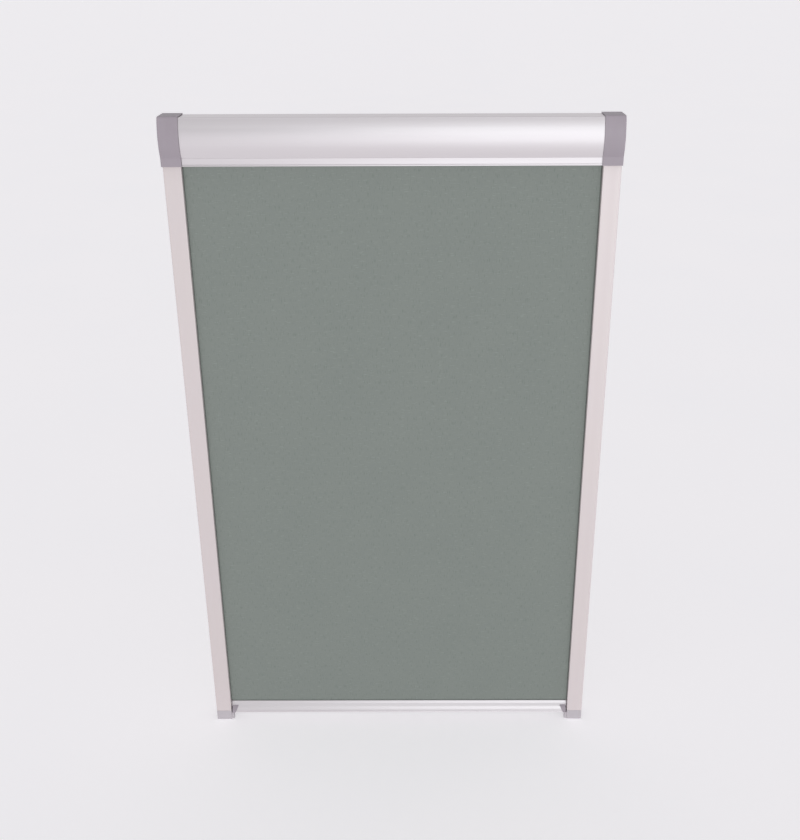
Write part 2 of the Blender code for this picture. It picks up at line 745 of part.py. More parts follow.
def foot(side):
    name = "left" if side < 0 else "right"
    top = SOLE_Z + FOOT_HEIGHT - GAP
    depth = CHANNEL_DEPTH
    outline = [(0, 0), (CHANNEL_FACE, 0)]
    outline += arc((CHANNEL_FACE - 0.0016, depth - 0.0016), 0.0016, 0.0, 90.0, 4)
    outline += arc((0.0010, depth - 0.0010), 0.0010, 90.0, 180.0, 3)
    block = extrusion(
        f"channel_foot_{name}", "Z", [[channel_point(side, *p) for p in outline]], SOLE_Z, top
    )

    def foot_box(part, across, forward, heights):
        near = channel_point(side, across[0], forward[0])
        far = channel_point(side, across[1], forward[1])
        low = (min(near[0], far[0]), min(near[1], far[1]), SOLE_Z + heights[0])
        high = (max(near[0], far[0]), max(near[1], far[1]), SOLE_Z + heights[1])
        return box(f"{part}_{name}", low, high)

    tab = foot_box("foot_tab", (0.0245, 0.0285), (0.0195, 0.0265), (0.0, 0.0130))
    spigot = foot_box("foot_spigot", (0.0022, 0.0120), (0.0080, 0.0200), (0.0170, 0.0214))
    join(block, tab, spigot)
    pocket = foot_box("foot_pocket", (0.0095, 0.0225), (0.0025, 0.0255), (-0.001, 0.0125))
    cut(block, pocket)
    spots = [channel_point(side, *spot) for spot in CHANNEL_PORTS]
    starts = [(x, y, SOLE_Z - 0.001) for x, y in spots]
    drill_with_seat(block, f"foot_screw_hole_{name}", 0.0016, 0.0031, 0.0050, starts, (0, 0, 1), 0.020)
    place(block, FOOT_PLASTIC)
    for where, (x, y) in zip(("rear", "front"), spots):
        head = (x, y, SOLE_Z + 0.0037)
        fastener = screw(
            f"foot_screw_{where}_{name}", head, (0, 0, 1), 0.0027, 0.0019, 0.0012, 0.0240
        )
        place(fastener, STEEL)


# Fabric: one sheet from the roll, over the guide felt and down inside the channels to the bar's clamp
def fabric_panel():
    reach = ROLL_RADIUS + GAP + FABRIC_THICKNESS / 2
    bend = Vector((FABRIC_Y, FABRIC_BEND_Z))
    centre = Vector((ROLLER_Y, 0.0))
    span = bend - centre
    swing = math.atan2(span.y, span.x) + math.acos(reach / span.length)
    leaving = centre + reach * Vector((math.cos(swing), math.sin(swing)))
    bottom = SOLE_Z + CLAMP_HEIGHT + CLAMP_RADIUS + 0.0003
    path = [tuple(leaving), tuple(bend), (FABRIC_Y, bottom)]
    half = FABRIC_THICKNESS / 2
    outline = offset(path, half) + list(reversed(offset(path, -half)))
    panel = extrusion("fabric_panel", "X", [outline], -FABRIC_HALF_WIDTH, FABRIC_HALF_WIDTH)
    for side in (-1, 1):
        name = "left" if side < 0 else "right"
        edges = sorted((side * FABRIC_HEM_HALF_WIDTH, side * (FABRIC_HALF_WIDTH + 0.001)))
        low = (edges[0], FABRIC_Y - 0.002, bottom - 0.002)
        high = (edges[1], FABRIC_Y + 0.002, SOLE_Z + BAR_TOP + 0.0003)
        cut(panel, box(f"hem_notch_{name}", low, high))
    place(panel, CLOTH)


def at_height(points):
    """Bar outlines are written with heights above the soles; this puts them in the row's frame."""
    return [(y, SOLE_Z + height) for y, height in points]


# Pull bar: aluminium extrusion with a clamp for the hem, a hollow for the sliders and a grip
def bar_profile():
    half_slot = CLAMP_SLOT / 2
    opening = math.degrees(math.asin(half_slot / CLAMP_RADIUS))
    seal_mouth = 0.0008
    outline = [(BAR_REAR, BAR_UNDERSIDE), (BAR_REAR, BAR_TOP), (FABRIC_Y + half_slot, BAR_TOP)]
    outline += arc((FABRIC_Y, CLAMP_HEIGHT), CLAMP_RADIUS, 90.0 - opening, -270.0 + opening, 14)
    outline += [(FABRIC_Y - half_slot, BAR_TOP), (BAR_FLANGE_TOP, BAR_TOP)]
    outline += GRIP[:7] + GRIP_GROOVE + GRIP[7:]
    outline += [
        (-0.0266, BAR_UNDERSIDE),
        (-0.0262, 0.0156),
        (-0.0215, 0.0156),
        (-0.0211, BAR_UNDERSIDE),
        (-0.0185, BAR_UNDERSIDE),
        (-0.0185, BAR_UNDERSIDE + seal_mouth),
        (-0.0197, BAR_UNDERSIDE + seal_mouth),
        (-0.0197, 0.0162),
        (-0.0143, 0.0162),
        (-0.0143, BAR_UNDERSIDE + seal_mouth),
        (-0.0155, BAR_UNDERSIDE + seal_mouth),
        (-0.0155, BAR_UNDERSIDE),
    ]
    hollow = [
        (-0.0145, BAR_FLOOR),
        (-0.0145, BAR_HOLLOW_TOP),
        (-0.0200, BAR_HOLLOW_TOP),
        (-0.0212, 0.0252),
        (-0.0236, 0.0234),
        (-0.0252, 0.0214),
        (-0.0260, 0.0196),
        (-0.0260, BAR_FLOOR),
    ]
    bar = extrusion(
        "bar_profile", "X", [at_height(outline), at_height(hollow)], -BAR_HALF_LENGTH, BAR_HALF_LENGTH
    )
    for side in (-1, 1):
        name = "left" if side < 0 else "right"
        edges = sorted((side * GRIP_HALF_LENGTH, side * (BAR_HALF_LENGTH + 0.001)))
        low = (edges[0], -0.0300, SOLE_Z + 0.0120)
        high = (edges[1], GRIP_NOTCH, SOLE_Z + 0.0300)
        cut(bar, box(f"grip_notch_{name}", low, high))
    starts = [(x, BAR_REAR + 0.001, SOLE_Z + 0.0193) for x in (-0.270, 0.270)]
    drill(bar, "slider_screw_holes", 0.0014, starts, (0, -1, 0), 0.003)
    place(bar, ALUMINIUM, BAR_AXIS)


def bar_inserts():
    rod = circle((FABRIC_Y, SOLE_Z + CLAMP_HEIGHT), CLAMP_RADIUS - 0.0004, 12)
    place(extrusion("hem_rod", "X", [rod], -0.2805, 0.2805), WHITE_PLASTIC, BAR_AXIS)
    seal = at_height(
        [
            (-0.0146, 0.0160),
            (-0.0194, 0.0160),
            (-0.0194, 0.0152),
            (-0.0181, 0.0152),
            (-0.0181, 0.0085),
            (-0.0159, 0.0085),
            (-0.0159, 0.0152),
            (-0.0146, 0.0152),
        ]
    )
    place(extrusion("bar_bottom_seal", "X", [seal], -0.2770, 0.2770), PILE, BAR_AXIS)


# Slider: plug in the bar's hollow, web through the channel's slot and shoe inside the channel
def bar_slider(side):
    name = "left" if side < 0 else "right"
    web_front = -0.0181
    web_rear = -0.0149

    def slider_box(part, inner, outer, front, rear, heights):
        edges = sorted((side * inner, side * outer))
        low = (edges[0], front, SOLE_Z + heights[0])
        high = (edges[1], rear, SOLE_Z + heights[1])
        return box(f"{part}_{name}", low, high)

    slider = slider_box("bar_slider", 0.2620, 0.2824, web_front, web_rear, (0.0174, 0.0212))
    web = slider_box("slider_web", 0.2819, 0.2952, web_front, web_rear, (0.0186, 0.0312))
    shoe = slider_box("slider_shoe", 0.2950, 0.3043, -0.0200, -0.0080, (0.0222, 0.0440))
    join(slider, web, shoe)
    start = [(side * 0.270, web_rear + 0.001, SOLE_Z + 0.0193)]
    drill(slider, f"slider_screw_hole_{name}", 0.0012, start, (0, -1, 0), 0.006)
    place(slider, GREY_PLASTIC, BAR_AXIS)
    pad_edges = sorted((side * 0.3046, side * 0.3057))
    pad_low = (pad_edges[0], -0.0124, SOLE_Z + 0.0250)
    pad_high = (pad_edges[1], -0.0084, SOLE_Z + 0.0410)
    place(box(f"friction_pad_{name}", pad_low, pad_high), FELT, BAR_AXIS)
    head = (side * 0.270, BAR_REAR + GAP, SOLE_Z + 0.0193)
    fastener = screw(f"slider_screw_{name}", head, (0, -1, 0), 0.0020, 0.0013, 0.0009, 0.0048)
    place(fastener, STEEL, BAR_AXIS)


# Bar cap: grey moulding over the grip's end, with a slanted inner edge and a plug in the bar's hollow
def bar_cap(side):
    name = "left" if side < 0 else "right"
    rear = GRIP_NOTCH - GAP
    line = [GRIP[2], *GRIP[3:], (GRIP[2][0], BAR_UNDERSIDE)]
    shell, lining = offset(line, -0.0008), offset(line, -GAP)
    outer = [(rear, shell[0][1] + GRIP_SLOPE * (rear - shell[0][0]))]
    outer += shell[1:-1] + [(rear, shell[-1][1])]
    inner = [(-0.0200, lining[0][1] + GRIP_SLOPE * (-0.0200 - lining[0][0]))]
    inner += lining[1:-1] + [(-0.0200, lining[-1][1])]
    edges = sorted((side * 0.2690, side * BAR_CAP_OUT))
    cap = extrusion(f"bar_cap_{name}", "X", [at_height(outer)], *edges)
    edges = sorted((side * 0.2680, side * (GRIP_HALF_LENGTH + GAP)))
    cut(cap, extrusion(f"bar_cap_hollow_{name}", "X", [at_height(inner)], *edges))
    slant = [(0.2670, 0.0100), (0.2785, 0.0100), (0.2690, 0.0290), (0.2670, 0.0290)]
    slant = [(side * x, SOLE_Z + height) for x, height in slant]
    cut(cap, extrusion(f"bar_cap_slant_{name}", "Y", [slant], -0.0320, -0.0190))
    edges = sorted((side * 0.2735, side * 0.2800))
    plug_low = (edges[0], -0.0255, SOLE_Z + 0.0174)
    plug_high = (edges[1], -0.0205, SOLE_Z + 0.0196)
    join(cap, box(f"bar_cap_plug_{name}", plug_low, plug_high))
    place(cap, GREY_PLASTIC, BAR_AXIS)


cassette_housing()
cassette_fascia()
roller()
spring_drive()
idler()
fabric_panel()
bar_profile()
bar_inserts()
for side in (-1, 1):
    end_plate(side)
    end_cap(side)
    side_channel(side)
    foot(side)
    bar_slider(side)
    bar_cap(side)
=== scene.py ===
import math

import bmesh
import bpy
import numpy as np
from mathutils import Matrix, Vector
from mathutils.geometry import tessellate_polygon


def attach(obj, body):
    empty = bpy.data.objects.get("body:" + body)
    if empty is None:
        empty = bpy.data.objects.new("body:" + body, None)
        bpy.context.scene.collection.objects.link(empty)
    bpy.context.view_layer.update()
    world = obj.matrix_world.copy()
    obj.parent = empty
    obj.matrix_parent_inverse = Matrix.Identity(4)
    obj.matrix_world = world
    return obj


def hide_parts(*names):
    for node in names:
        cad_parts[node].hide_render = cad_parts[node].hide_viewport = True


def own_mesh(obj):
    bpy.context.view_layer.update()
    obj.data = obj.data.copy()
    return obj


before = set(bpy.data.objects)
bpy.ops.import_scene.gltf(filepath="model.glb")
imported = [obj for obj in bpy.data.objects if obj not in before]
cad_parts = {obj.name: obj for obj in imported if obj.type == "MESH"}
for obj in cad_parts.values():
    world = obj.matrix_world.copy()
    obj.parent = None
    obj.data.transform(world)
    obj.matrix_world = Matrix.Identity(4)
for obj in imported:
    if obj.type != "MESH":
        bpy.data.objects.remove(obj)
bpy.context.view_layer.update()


# CASSETTE HOUSING
# The back, top and rear lip of the cassette: one aluminium extrusion, satin anodised, cut square at its ends.
# Four holes in its back take the fixing screws, and two bores take the end plates' screws.
HALF_WIDTH = 0.3075
CASSETTE_TOP = 0.035
CASSETTE_BOTTOM = -0.030
EXTRUSION_ENDS = (-0.2997, 0.2997)
HOUSING_WALL = 0.0016
SCREW_BORE = 0.00145
HOUSING_BORES = ((-0.0045, 0.0289), (-0.0045, -0.0255))
BACK_HOLES_X = (-0.250, -0.090, 0.090, 0.250)
BACK_HOLES_Z = 0.013
BACK_HOLE_RADIUS = 0.00225


def eased(points, radius, steps=3, closed=True):
    """An outline with its sharp corners eased by a parabola that touches both sides.

    With the corner at C and the parabola's ends at A and B, its points are (1-s)^2 A + 2s(1-s) C + s^2 B.
    A and B lie radius times tan(half the turn) from C, and never past 0.45 of a side.
    """
    corner = np.asarray(points, float)
    back = np.roll(corner, 1, 0) - corner
    ahead = np.roll(corner, -1, 0) - corner
    back_length = np.linalg.norm(back, axis=1)
    ahead_length = np.linalg.norm(ahead, axis=1)
    cosine = (back * ahead).sum(1) / (back_length * ahead_length)
    turn = math.pi - np.arccos(np.clip(cosine, -1, 1))
    reach = np.minimum(radius * np.tan(turn / 2), 0.45 * np.minimum(back_length, ahead_length))
    reach = np.where(turn < 0.22, 0.0, reach)
    if not closed:
        reach[[0, -1]] = 0.0
    start = corner + back * (reach / back_length)[:, None]
    end = corner + ahead * (reach / ahead_length)[:, None]
    s = np.linspace(0, 1, steps + 1)[None, :, None]
    curve = (1 - s) ** 2 * start[:, None] + 2 * s * (1 - s) * corner[:, None] + s**2 * end[:, None]
    curve = curve.reshape(-1, 2)
    apart = np.linalg.norm(curve - np.roll(curve, 1, 0), axis=1) > 2e-6
    if not closed:
        apart[0] = True
    return curve[apart]


def ring(centre, radius, count=32):
    """A circle: centre + radius (cos a, sin a), with a from 0 round to 360 degrees."""
    angle = np.linspace(0, 2 * math.pi, count, endpoint=False)
    return np.asarray(centre) + radius * np.column_stack([np.cos(angle), np.sin(angle)])


def carried(section, stations, axis):
    """A section carried along X, Y or Z: a grid in space of every (u, v) point at every station."""
    section, stations = np.asarray(section, float), np.asarray(stations, float)
    u = np.broadcast_to(section[:, None, 0], (len(section), len(stations)))
    v = np.broadcast_to(section[:, None, 1], u.shape)
    t = np.broadcast_to(stations[None, :], u.shape)
    return np.stack({"X": (t, u, v), "Y": (u, t, v), "Z": (u, v, t)}[axis], axis=-1)


def skin(points, close_rows=False, close_columns=False):
    """The quads between a grid's neighbouring points, a grid that may close on itself either way."""
    rows, columns = points.shape[:2]
    number = np.arange(rows * columns).reshape(rows, columns)
    if close_rows:
        number = np.vstack([number, number[:1]])
    if close_columns:
        number = np.hstack([number, number[:, :1]])
    corners = (number[:-1, :-1], number[1:, :-1], number[1:, 1:], number[:-1, 1:])
    return points.reshape(-1, 3), np.stack(corners, axis=-1).reshape(-1, 4)


def flat(loops, lift):
    """A flat face that lift places: the first loop of (u, v) points is its outline, the others are holes."""
    triangles = tessellate_polygon([[Vector((u, v, 0.0)) for u, v in loop] for loop in loops])
    return lift(np.concatenate([np.asarray(loop, float) for loop in loops])), np.asarray(triangles)


def square_to(axis, place):
    """Places (u, v) points in a plane square to an axis."""
    return lambda points: carried(points, [place], axis)[:, 0]


def walls(outline, low, high, axis, without=()):
    """An extrusion's side walls between two places, less the sides that are made with holes."""
    points, quads = skin(carried(outline, [low, high], axis), close_rows=True)
    return points, np.delete(quads, list(without), axis=0)


def extrusion(outline, bores, low, high, axis, without=()):
    """An extrusion's skins: its side walls, the walls of its bores and its two cut ends."""
    skins = [walls(outline, low, high, axis, without)] + [walls(bore, low, high, axis) for bore in bores]
    return skins + [flat([outline, *bores], square_to(axis, end)) for end in (low, high)]


def side_near(outline, place):
    """The number of the outline's side whose middle is nearest to a place."""
    middle = (outline + np.roll(outline, -1, 0)) / 2
    return int(np.linalg.norm(middle - np.asarray(place), axis=1).argmin())


def pierced_side(outline, side, low, high, axis, holes, radius):
    """An extrusion's flat side with round holes, each given as (place in the section, place along)."""
    start, end = outline[side], outline[(side + 1) % len(outline)]
    width = np.linalg.norm(end - start)
    direction = (end - start) / width
    loops = [np.array([(0, low), (width, low), (width, high), (0, high)])]
    loops += [ring(((np.asarray(spot) - start) @ direction, place), radius) for spot, place in holes]

    def lift(points):
        section = start + points[:, :1] * direction
        order = {"X": [2, 0, 1], "Z": [0, 1, 2]}[axis]
        return np.column_stack([section, points[:, 1]])[:, order]

    return flat(loops, lift)


def settled(mesh, sharp):
    """Joins a mesh's points where they meet, turns its faces outwards, and keeps its folds sharp."""
    body = bmesh.new()
    body.from_mesh(mesh)
    bmesh.ops.remove_doubles(body, verts=body.verts, dist=1e-6)
    bmesh.ops.recalc_face_normals(body, faces=body.faces)
    body.to_mesh(mesh)
    body.free()
    mesh.shade_smooth()
    mesh.set_sharp_from_angle(angle=math.radians(sharp))
    return mesh


def make_mesh(name, skins, sharp=32.0):
    """One closed mesh from skins that meet at their edges."""
    points, faces, first = [], [], 0
    for skin_points, skin_faces in skins:
        points.append(skin_points)
        faces += (skin_faces + first).tolist()
        first += len(skin_points)
    mesh = bpy.data.meshes.new(name)
    mesh.from_pydata(np.concatenate(points).tolist(), [], faces)
    return settled(mesh, sharp)


def add_piece(mesh, body, finish, slot, *nodes, even=True):
    """A finished piece: its finish, the body that it rides on, and the nodes that it stands for. Its slot is
    not used.
    """
    piece = bpy.data.objects.new(mesh.name, mesh)
    bpy.context.scene.collection.objects.link(piece)
    for material in finish if isinstance(finish, tuple) else (finish,):
        mesh.materials.append(material)
    if even:
        shading = piece.modifiers.new("even_shading", "WEIGHTED_NORMAL")
        shading.keep_sharp = True
    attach(piece, body)
    if nodes:
        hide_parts(*nodes)
    return piece


def refinish(finish, *nodes):
    """Gives CAD nodes whose shape is right their real finish."""
    for node in nodes:
        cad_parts[node].data.materials.clear()
        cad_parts[node].data.materials.append(finish)


def linear(colour):
    """An sRGB hex colour as linear values: c / 12.92 up to 0.04045, and ((c + 0.055) / 1.055)^2.4 above."""
    c = np.array([int(colour[i : i + 2], 16) for i in (1, 3, 5)]) / 255
    value = np.where(c <= 0.04045, c / 12.92, ((c + 0.055) / 1.055) ** 2.4)
    return (*value.tolist(), 1.0)


def add_node(tree, kind, inputs=None, output=0, **settings):
    """Adds a node and gives back one output: its settings by name, its sockets as values or as links."""
    made = tree.nodes.new(kind)
    for name, value in settings.items():
        setattr(made, name, value)
    for socket, value in (inputs or {}).items():
        if isinstance(value, bpy.types.NodeSocket):
            tree.links.new(value, made.inputs[socket])
        else:
            made.inputs[socket].default_value = value
    return made.outputs[output]


def new_material(name, uv_map=None, **sockets):
    """A material, its node tree and its pattern's place: Object coordinates, or the piece's own UV map.

    What is the same all over the surface is set on the shader's own sockets.
    """
    material = bpy.data.materials.new(name)
    material.use_nodes = True
    tree = material.node_tree
    for socket, value in sockets.items():
        tree.nodes["Principled BSDF"].inputs[socket.replace("_", " ")].default_value = value
    if uv_map:
        return material, tree, add_node(tree, "ShaderNodeUVMap", uv_map=uv_map)
    return material, tree, add_node(tree, "ShaderNodeTexCoord", output="Object")


def dressed(material, base, tints, gloss, first, last, relief=None, strength=0.0, depth=0.0, low=0.3):
    """Links a material's patterns to its shader.

    The colour starts at the base and turns to each tint by that tint's pattern. The roughness goes from first
    to last as the gloss pattern goes from low to 1 - low. The relief is a bump, its depth in metres.
    """
    tree = material.node_tree
    shader = tree.nodes["Principled BSDF"]
    colour = linear(base)
    for pattern, tint in tints:
        tones = {0: pattern, 6: colour, 7: linear(tint)}
        colour = add_node(tree, "ShaderNodeMix", tones, 2, data_type="RGBA")
    tree.links.new(colour, shader.inputs["Base Color"])
    roughness = add_node(tree, "ShaderNodeMapRange", {0: gloss, 1: low, 2: 1 - low, 3: first, 4: last})
    tree.links.new(roughness, shader.inputs["Roughness"])
    if relief:
        bump = add_node(tree, "ShaderNodeBump", {"Strength": strength, "Distance": depth, "Height": relief})
        tree.links.new(bump, shader.inputs["Normal"])
    return material


# Anodised aluminium, etched satin: a grey-white metal. The die leaves faint lines along the length, and the
# etching a fine matte grain. Real die lines are 0.1 to 0.3 mm apart, and are drawn 1 to 6 mm wide to show.
# The bar's finish is a shade lighter than the cassette's, and the channels' is warmer and rougher.
def satin_anodised(name, length_axis, dark, light, clouded, smoothest, roughest):
    material, tree, place = new_material(name, Metallic=1.0)
    along = "XYZ".index(length_axis)
    band_scale, line_scale = [170.0] * 3, [900.0] * 3
    band_scale[along], line_scale[along] = 0.9, 3.0
    band_place = add_node(tree, "ShaderNodeMapping", {"Vector": place, "Scale": band_scale})
    line_place = add_node(tree, "ShaderNodeMapping", {"Vector": place, "Scale": line_scale})
    band = add_node(tree, "ShaderNodeTexNoise", {0: band_place, "Scale": 1.0, "Detail": 2.0})
    line = add_node(tree, "ShaderNodeTexNoise", {0: line_place, "Scale": 1.0, "Detail": 3.0})
    cloud = add_node(tree, "ShaderNodeTexNoise", {0: place, "Scale": 7.0, "Detail": 2.0})
    grain = add_node(tree, "ShaderNodeTexNoise", {0: place, "Scale": 2600.0, "Detail": 1.0})
    drawn = add_node(tree, "ShaderNodeMix", {0: 0.35, 2: band, 3: line})
    relief = add_node(tree, "ShaderNodeMix", {0: 0.3, 2: line, 3: grain})
    tints = ((drawn, light), (cloud, clouded))
    return dressed(material, dark, tints, drawn, smoothest, roughest, relief, 0.25, 0.00003)


aluminium_across = satin_anodised("satin_anodised_across", "X", "#c8c3c6", "#d8d4d6", "#d0cbcd", 0.33, 0.42)
aluminium_bar = satin_anodised("satin_anodised_bar", "X", "#ccc7ca", "#dcd8da", "#d4cfd1", 0.33, 0.42)
aluminium_upright = satin_anodised("satin_anodised_upright", "Z", "#d4cccd", "#ddd5d6", "#dad2d0", 0.56, 0.64)

housing_outline = eased(
    [
        (0, CASSETTE_BOTTOM), (0, 0.0334), (-0.0300, 0.0334), (-0.0300, 0.0272), (-0.0284, 0.0272),
        (-0.0284, 0.0318), (-0.0074, 0.0318), (-0.0074, 0.0260), (-HOUSING_WALL, 0.0260),
        (-HOUSING_WALL, -0.0226), (-0.0074, -0.0226), (-0.0074, -0.0284), (-0.0116, -0.0284),
        (-0.0116, -0.0225), (-0.0132, -0.0225), (-0.0132, CASSETTE_BOTTOM),
    ],
    0.0003,
)
holed = [side_near(housing_outline, (y, 0)) for y in (0, -HOUSING_WALL)]
holes = [((0, BACK_HOLES_Z), x) for x in BACK_HOLES_X]
housing_bores = [ring(bore, SCREW_BORE, 20) for bore in HOUSING_BORES]
housing = extrusion(housing_outline, housing_bores, *EXTRUSION_ENDS, "X", holed)
for side in holed:
    housing.append(pierced_side(housing_outline, side, *EXTRUSION_ENDS, "X", holes, BACK_HOLE_RADIUS))
for x in BACK_HOLES_X:
    housing.append(walls(ring((x, BACK_HOLES_Z), BACK_HOLE_RADIUS), -HOUSING_WALL, 0.0, "Y"))
housing_mesh = make_mesh("housing_extrusion", housing)
add_piece(housing_mesh, "frame", aluminium_across, "satin_aluminium", "cassette_housing")


# END PLATES AND THEIR SCREWS
# Zinc-plated steel blanks that close the extrusions and carry the roller, each held by three pan-head screws
# with a cross recess. The screws have a coarse thread that cuts its way into the aluminium bores.
SIDES = ((-1, "left"), (1, "right"))
END_PLATE_OUT = 0.3020
CLEAR = 0.0003
FASCIA_BORE = (-0.0308, -0.0258)
PLATE_SCREW = (0.0027, 0.0019, 0.0012, 0.0130)  # head radius and height, shank radius and length


# Zinc plating, blue passivated: bright grey with soft clouds 4 to 8 mm across and a faint blue cast.
def zinc_plated(name):
    material, tree, place = new_material(name, Metallic=1.0)
    cloud = add_node(tree, "ShaderNodeTexNoise", {0: place, "Scale": 160.0, "Detail": 3.0})
    grain = add_node(tree, "ShaderNodeTexNoise", {0: place, "Scale": 1800.0, "Detail": 2.0})
    return dressed(material, "#b9bec4", [(cloud, "#d6d6d2")], grain, 0.26, 0.42, grain, 0.2, 0.00003)


zinc_steel = zinc_plated("zinc_plated_steel_passivated")
refinish(zinc_steel, "end_plate_left", "end_plate_right", "idler_pin", "spring_spindle")


def screw_skin(start, direction, head_radius, head_height, shank_radius, length, pitch=0.0009):
    """A pan-head screw as one turned surface with a cross recess and a thread.

    Over the head the height is H (1 - 0.35 (r/R)^4), less the recess: 0.6 H where the point is in either arm
    of the cross, whose half width is 0.16 R and half length 0.62 R, with softened walls. Down the shank the
    radius is R0 (0.84 + 0.30 ridge), where ridge is the fifth power of |cos| of half the helix's angle. It
    closes to a point over the last fifth.
    """
    angle = np.linspace(0, 2 * math.pi, 24, endpoint=False)
    r = head_radius * np.array([0.0, 0.09, 0.16, 0.24, 0.34, 0.46, 0.58, 0.68, 0.80, 0.92, 1.0])[:, None]
    x, y = r * np.cos(angle), r * np.sin(angle)
    arm = 0.62 * head_radius - np.maximum(abs(x), abs(y))
    inside = np.clip((0.16 * head_radius - np.minimum(abs(x), abs(y))) / (0.07 * head_radius), 0, 1)
    recess = inside * np.clip(arm / (0.1 * head_radius), 0, 1)
    height = head_height * (1 - 0.35 * (r / head_radius) ** 4 - 0.6 * recess)
    rim = np.array([[head_radius, 0.0], [shank_radius, 0.0]])
    rows = int(length / pitch * 7)
    down = np.linspace(0.0, length, rows)[1:, None]
    ridge = np.abs(np.cos((down / pitch * 2 * math.pi - angle) / 2)) ** 5
    taper = np.clip((length - down) / (0.2 * length), 0, 1) ** 0.8
    thread = shank_radius * (0.84 + 0.30 * ridge) * taper
    radius = np.vstack([r + 0 * angle, rim[:, :1] + 0 * angle, thread])
    along = np.vstack([-height, rim[:, 1:] + 0 * angle, down + 0 * angle])
    axis = Vector(direction).normalized()
    first = np.array(axis.orthogonal().normalized())
    axis = np.array(axis)
    second = np.cross(axis, first)
    across = first * (radius * np.cos(angle))[..., None] + second * (radius * np.sin(angle))[..., None]
    return skin(np.asarray(start) + axis * along[..., None] + across, close_columns=True)


def add_screw(name, node, body, start, direction, sizes):
    """A screw as a piece of its own, in zinc-plated steel."""
    mesh = make_mesh(name, [screw_skin(start, direction, *sizes)], 40.0)
    add_piece(mesh, body, zinc_steel, "zinc_plated_steel", node)


for side, name in SIDES:
    for where, (y, z) in zip(("top", "bottom", "front"), (*HOUSING_BORES, FASCIA_BORE)):
        node = f"end_plate_screw_{where}_{name}"
        head = (side * (END_PLATE_OUT + CLEAR), y, z)
        add_screw(f"plate_screw_{where}_{name}", node, "frame", head, (-side, 0, 0), PLATE_SCREW)


# ROLLER
# A grooved aluminium tube that turns on acetal plugs. At its left end a torsion spring of oiled steel wire
# is wound round a still spindle and balances the bar; at its right end a steel pin turns in a bush.
ROLLER_Y = -0.0225
SPRING_RADIUS = 0.0066
SPRING_WIRE = 0.0006
SPRING_ENDS = (-0.2628, -0.0945)
SPRING_TURNS = 94


# Mill aluminium: brighter and smoother than the anodised extrusions. The fine lines along the tube are real
# 0.1 mm apart, and drawn 0.8 mm.
def mill_aluminium(name):
    material, tree, place = new_material(name, Metallic=1.0)
    line_place = add_node(tree, "ShaderNodeMapping", {"Vector": place, "Scale": (4.0, 1200.0, 1200.0)})
    line = add_node(tree, "ShaderNodeTexNoise", {0: line_place, "Scale": 1.0, "Detail": 3.0})
    return dressed(material, "#cfcfd0", [(line, "#e8e8e9")], line, 0.24, 0.38)


# Drawn spring steel: dark grey wire under an oil film, whose tone and gloss vary over 4 to 5 mm.
def drawn_spring_steel(name):
    material, tree, place = new_material(name, Metallic=1.0)
    film = add_node(tree, "ShaderNodeTexNoise", {0: place, "Scale": 220.0, "Detail": 2.0})
    return dressed(material, "#6f7175", [(film, "#a3a4a6")], film, 0.20, 0.36)


# Natural acetal: a slightly waxy, milky white moulding, with flow clouds about 10 mm across.
def moulded_acetal(name):
    material, tree, place = new_material(name, IOR=1.48)
    flow = add_node(tree, "ShaderNodeTexNoise", {0: place, "Scale": 100.0, "Detail": 2.0})
    return dressed(material, "#dedcd3", [(flow, "#ebeae4")], flow, 0.38, 0.5)


spring_steel = drawn_spring_steel("oiled_spring_steel")
acetal = moulded_acetal("natural_acetal_moulding")
refinish(mill_aluminium("mill_finish_aluminium"), "roller_tube")
refinish(spring_steel, "spindle_circlip")
refinish(acetal, "roller_spline", "drive_plug", "spindle_bearing", "spindle_collar", "idler_plug")
refinish(acetal, "idler_bush", "hem_rod")


def coil_skin(low, high, turns, radius, wire, y, per_turn=18, sides=8):
    """A coil spring: the wire's circle carried along x = low..high, (y, z) = radius (cos a, sin a).

    The circle lies across the helix, between the direction away from the axis and X. Its ends are closed by
    rings that shrink to a point.
    """
    a = np.linspace(0, 2 * math.pi * turns, turns * per_turn + 1)
    a = np.concatenate([[a[0]], a, [a[-1]]])[:, None]
    thick = np.full_like(a, wire)
    thick[[0, -1]] = 0.0
    b = np.linspace(0, 2 * math.pi, sides, endpoint=False)[None, :]
    out = radius + thick * np.cos(b)
    x = low + (high - low) * a / a.max() + thick * np.sin(b)
    return skin(np.stack([x, y + out * np.cos(a), out * np.sin(a)], axis=-1), close_columns=True)


spring_skin = coil_skin(*SPRING_ENDS, SPRING_TURNS, SPRING_RADIUS, SPRING_WIRE, ROLLER_Y)
spring_mesh = make_mesh("counterbalance_spring", [spring_skin], 60.0)
add_piece(spring_mesh, "frame", spring_steel, "spring_steel", "torsion_spring", even=False)


# BLACKOUT CLOTH
# Grey-green woven polyester with a pale acrylic blackout coating on its rear face. It is locked in the
# tube's groove, comes off the back of the roll over a felt, and runs flat and taut down to the pull bar. Its
# hem is clamped in the bar and travels with it, so the hem is a piece apart, and the panel above it shortens.
CLOTH_Y = -0.0165
CLOTH_HALF_WIDTH = 0.2940
CLOTH_HEM_HALF_WIDTH = 0.2810
CLOTH_THICKNESS = 0.00045
CLOTH_COLUMNS = 85
PANEL_ROWS = 120
ROLL_RADIUS = 0.0119
TUBE_RADIUS = 0.0110
BEND_Z = -0.0240
BEND_RADIUS = 0.0080
SOLE_Z = -0.955
HEM_TOP = SOLE_Z + 0.0318
HEM_BOTTOM = SOLE_Z + 0.0278
HEM_LAP = 0.0001
WEAVE_SCALE = 318.0


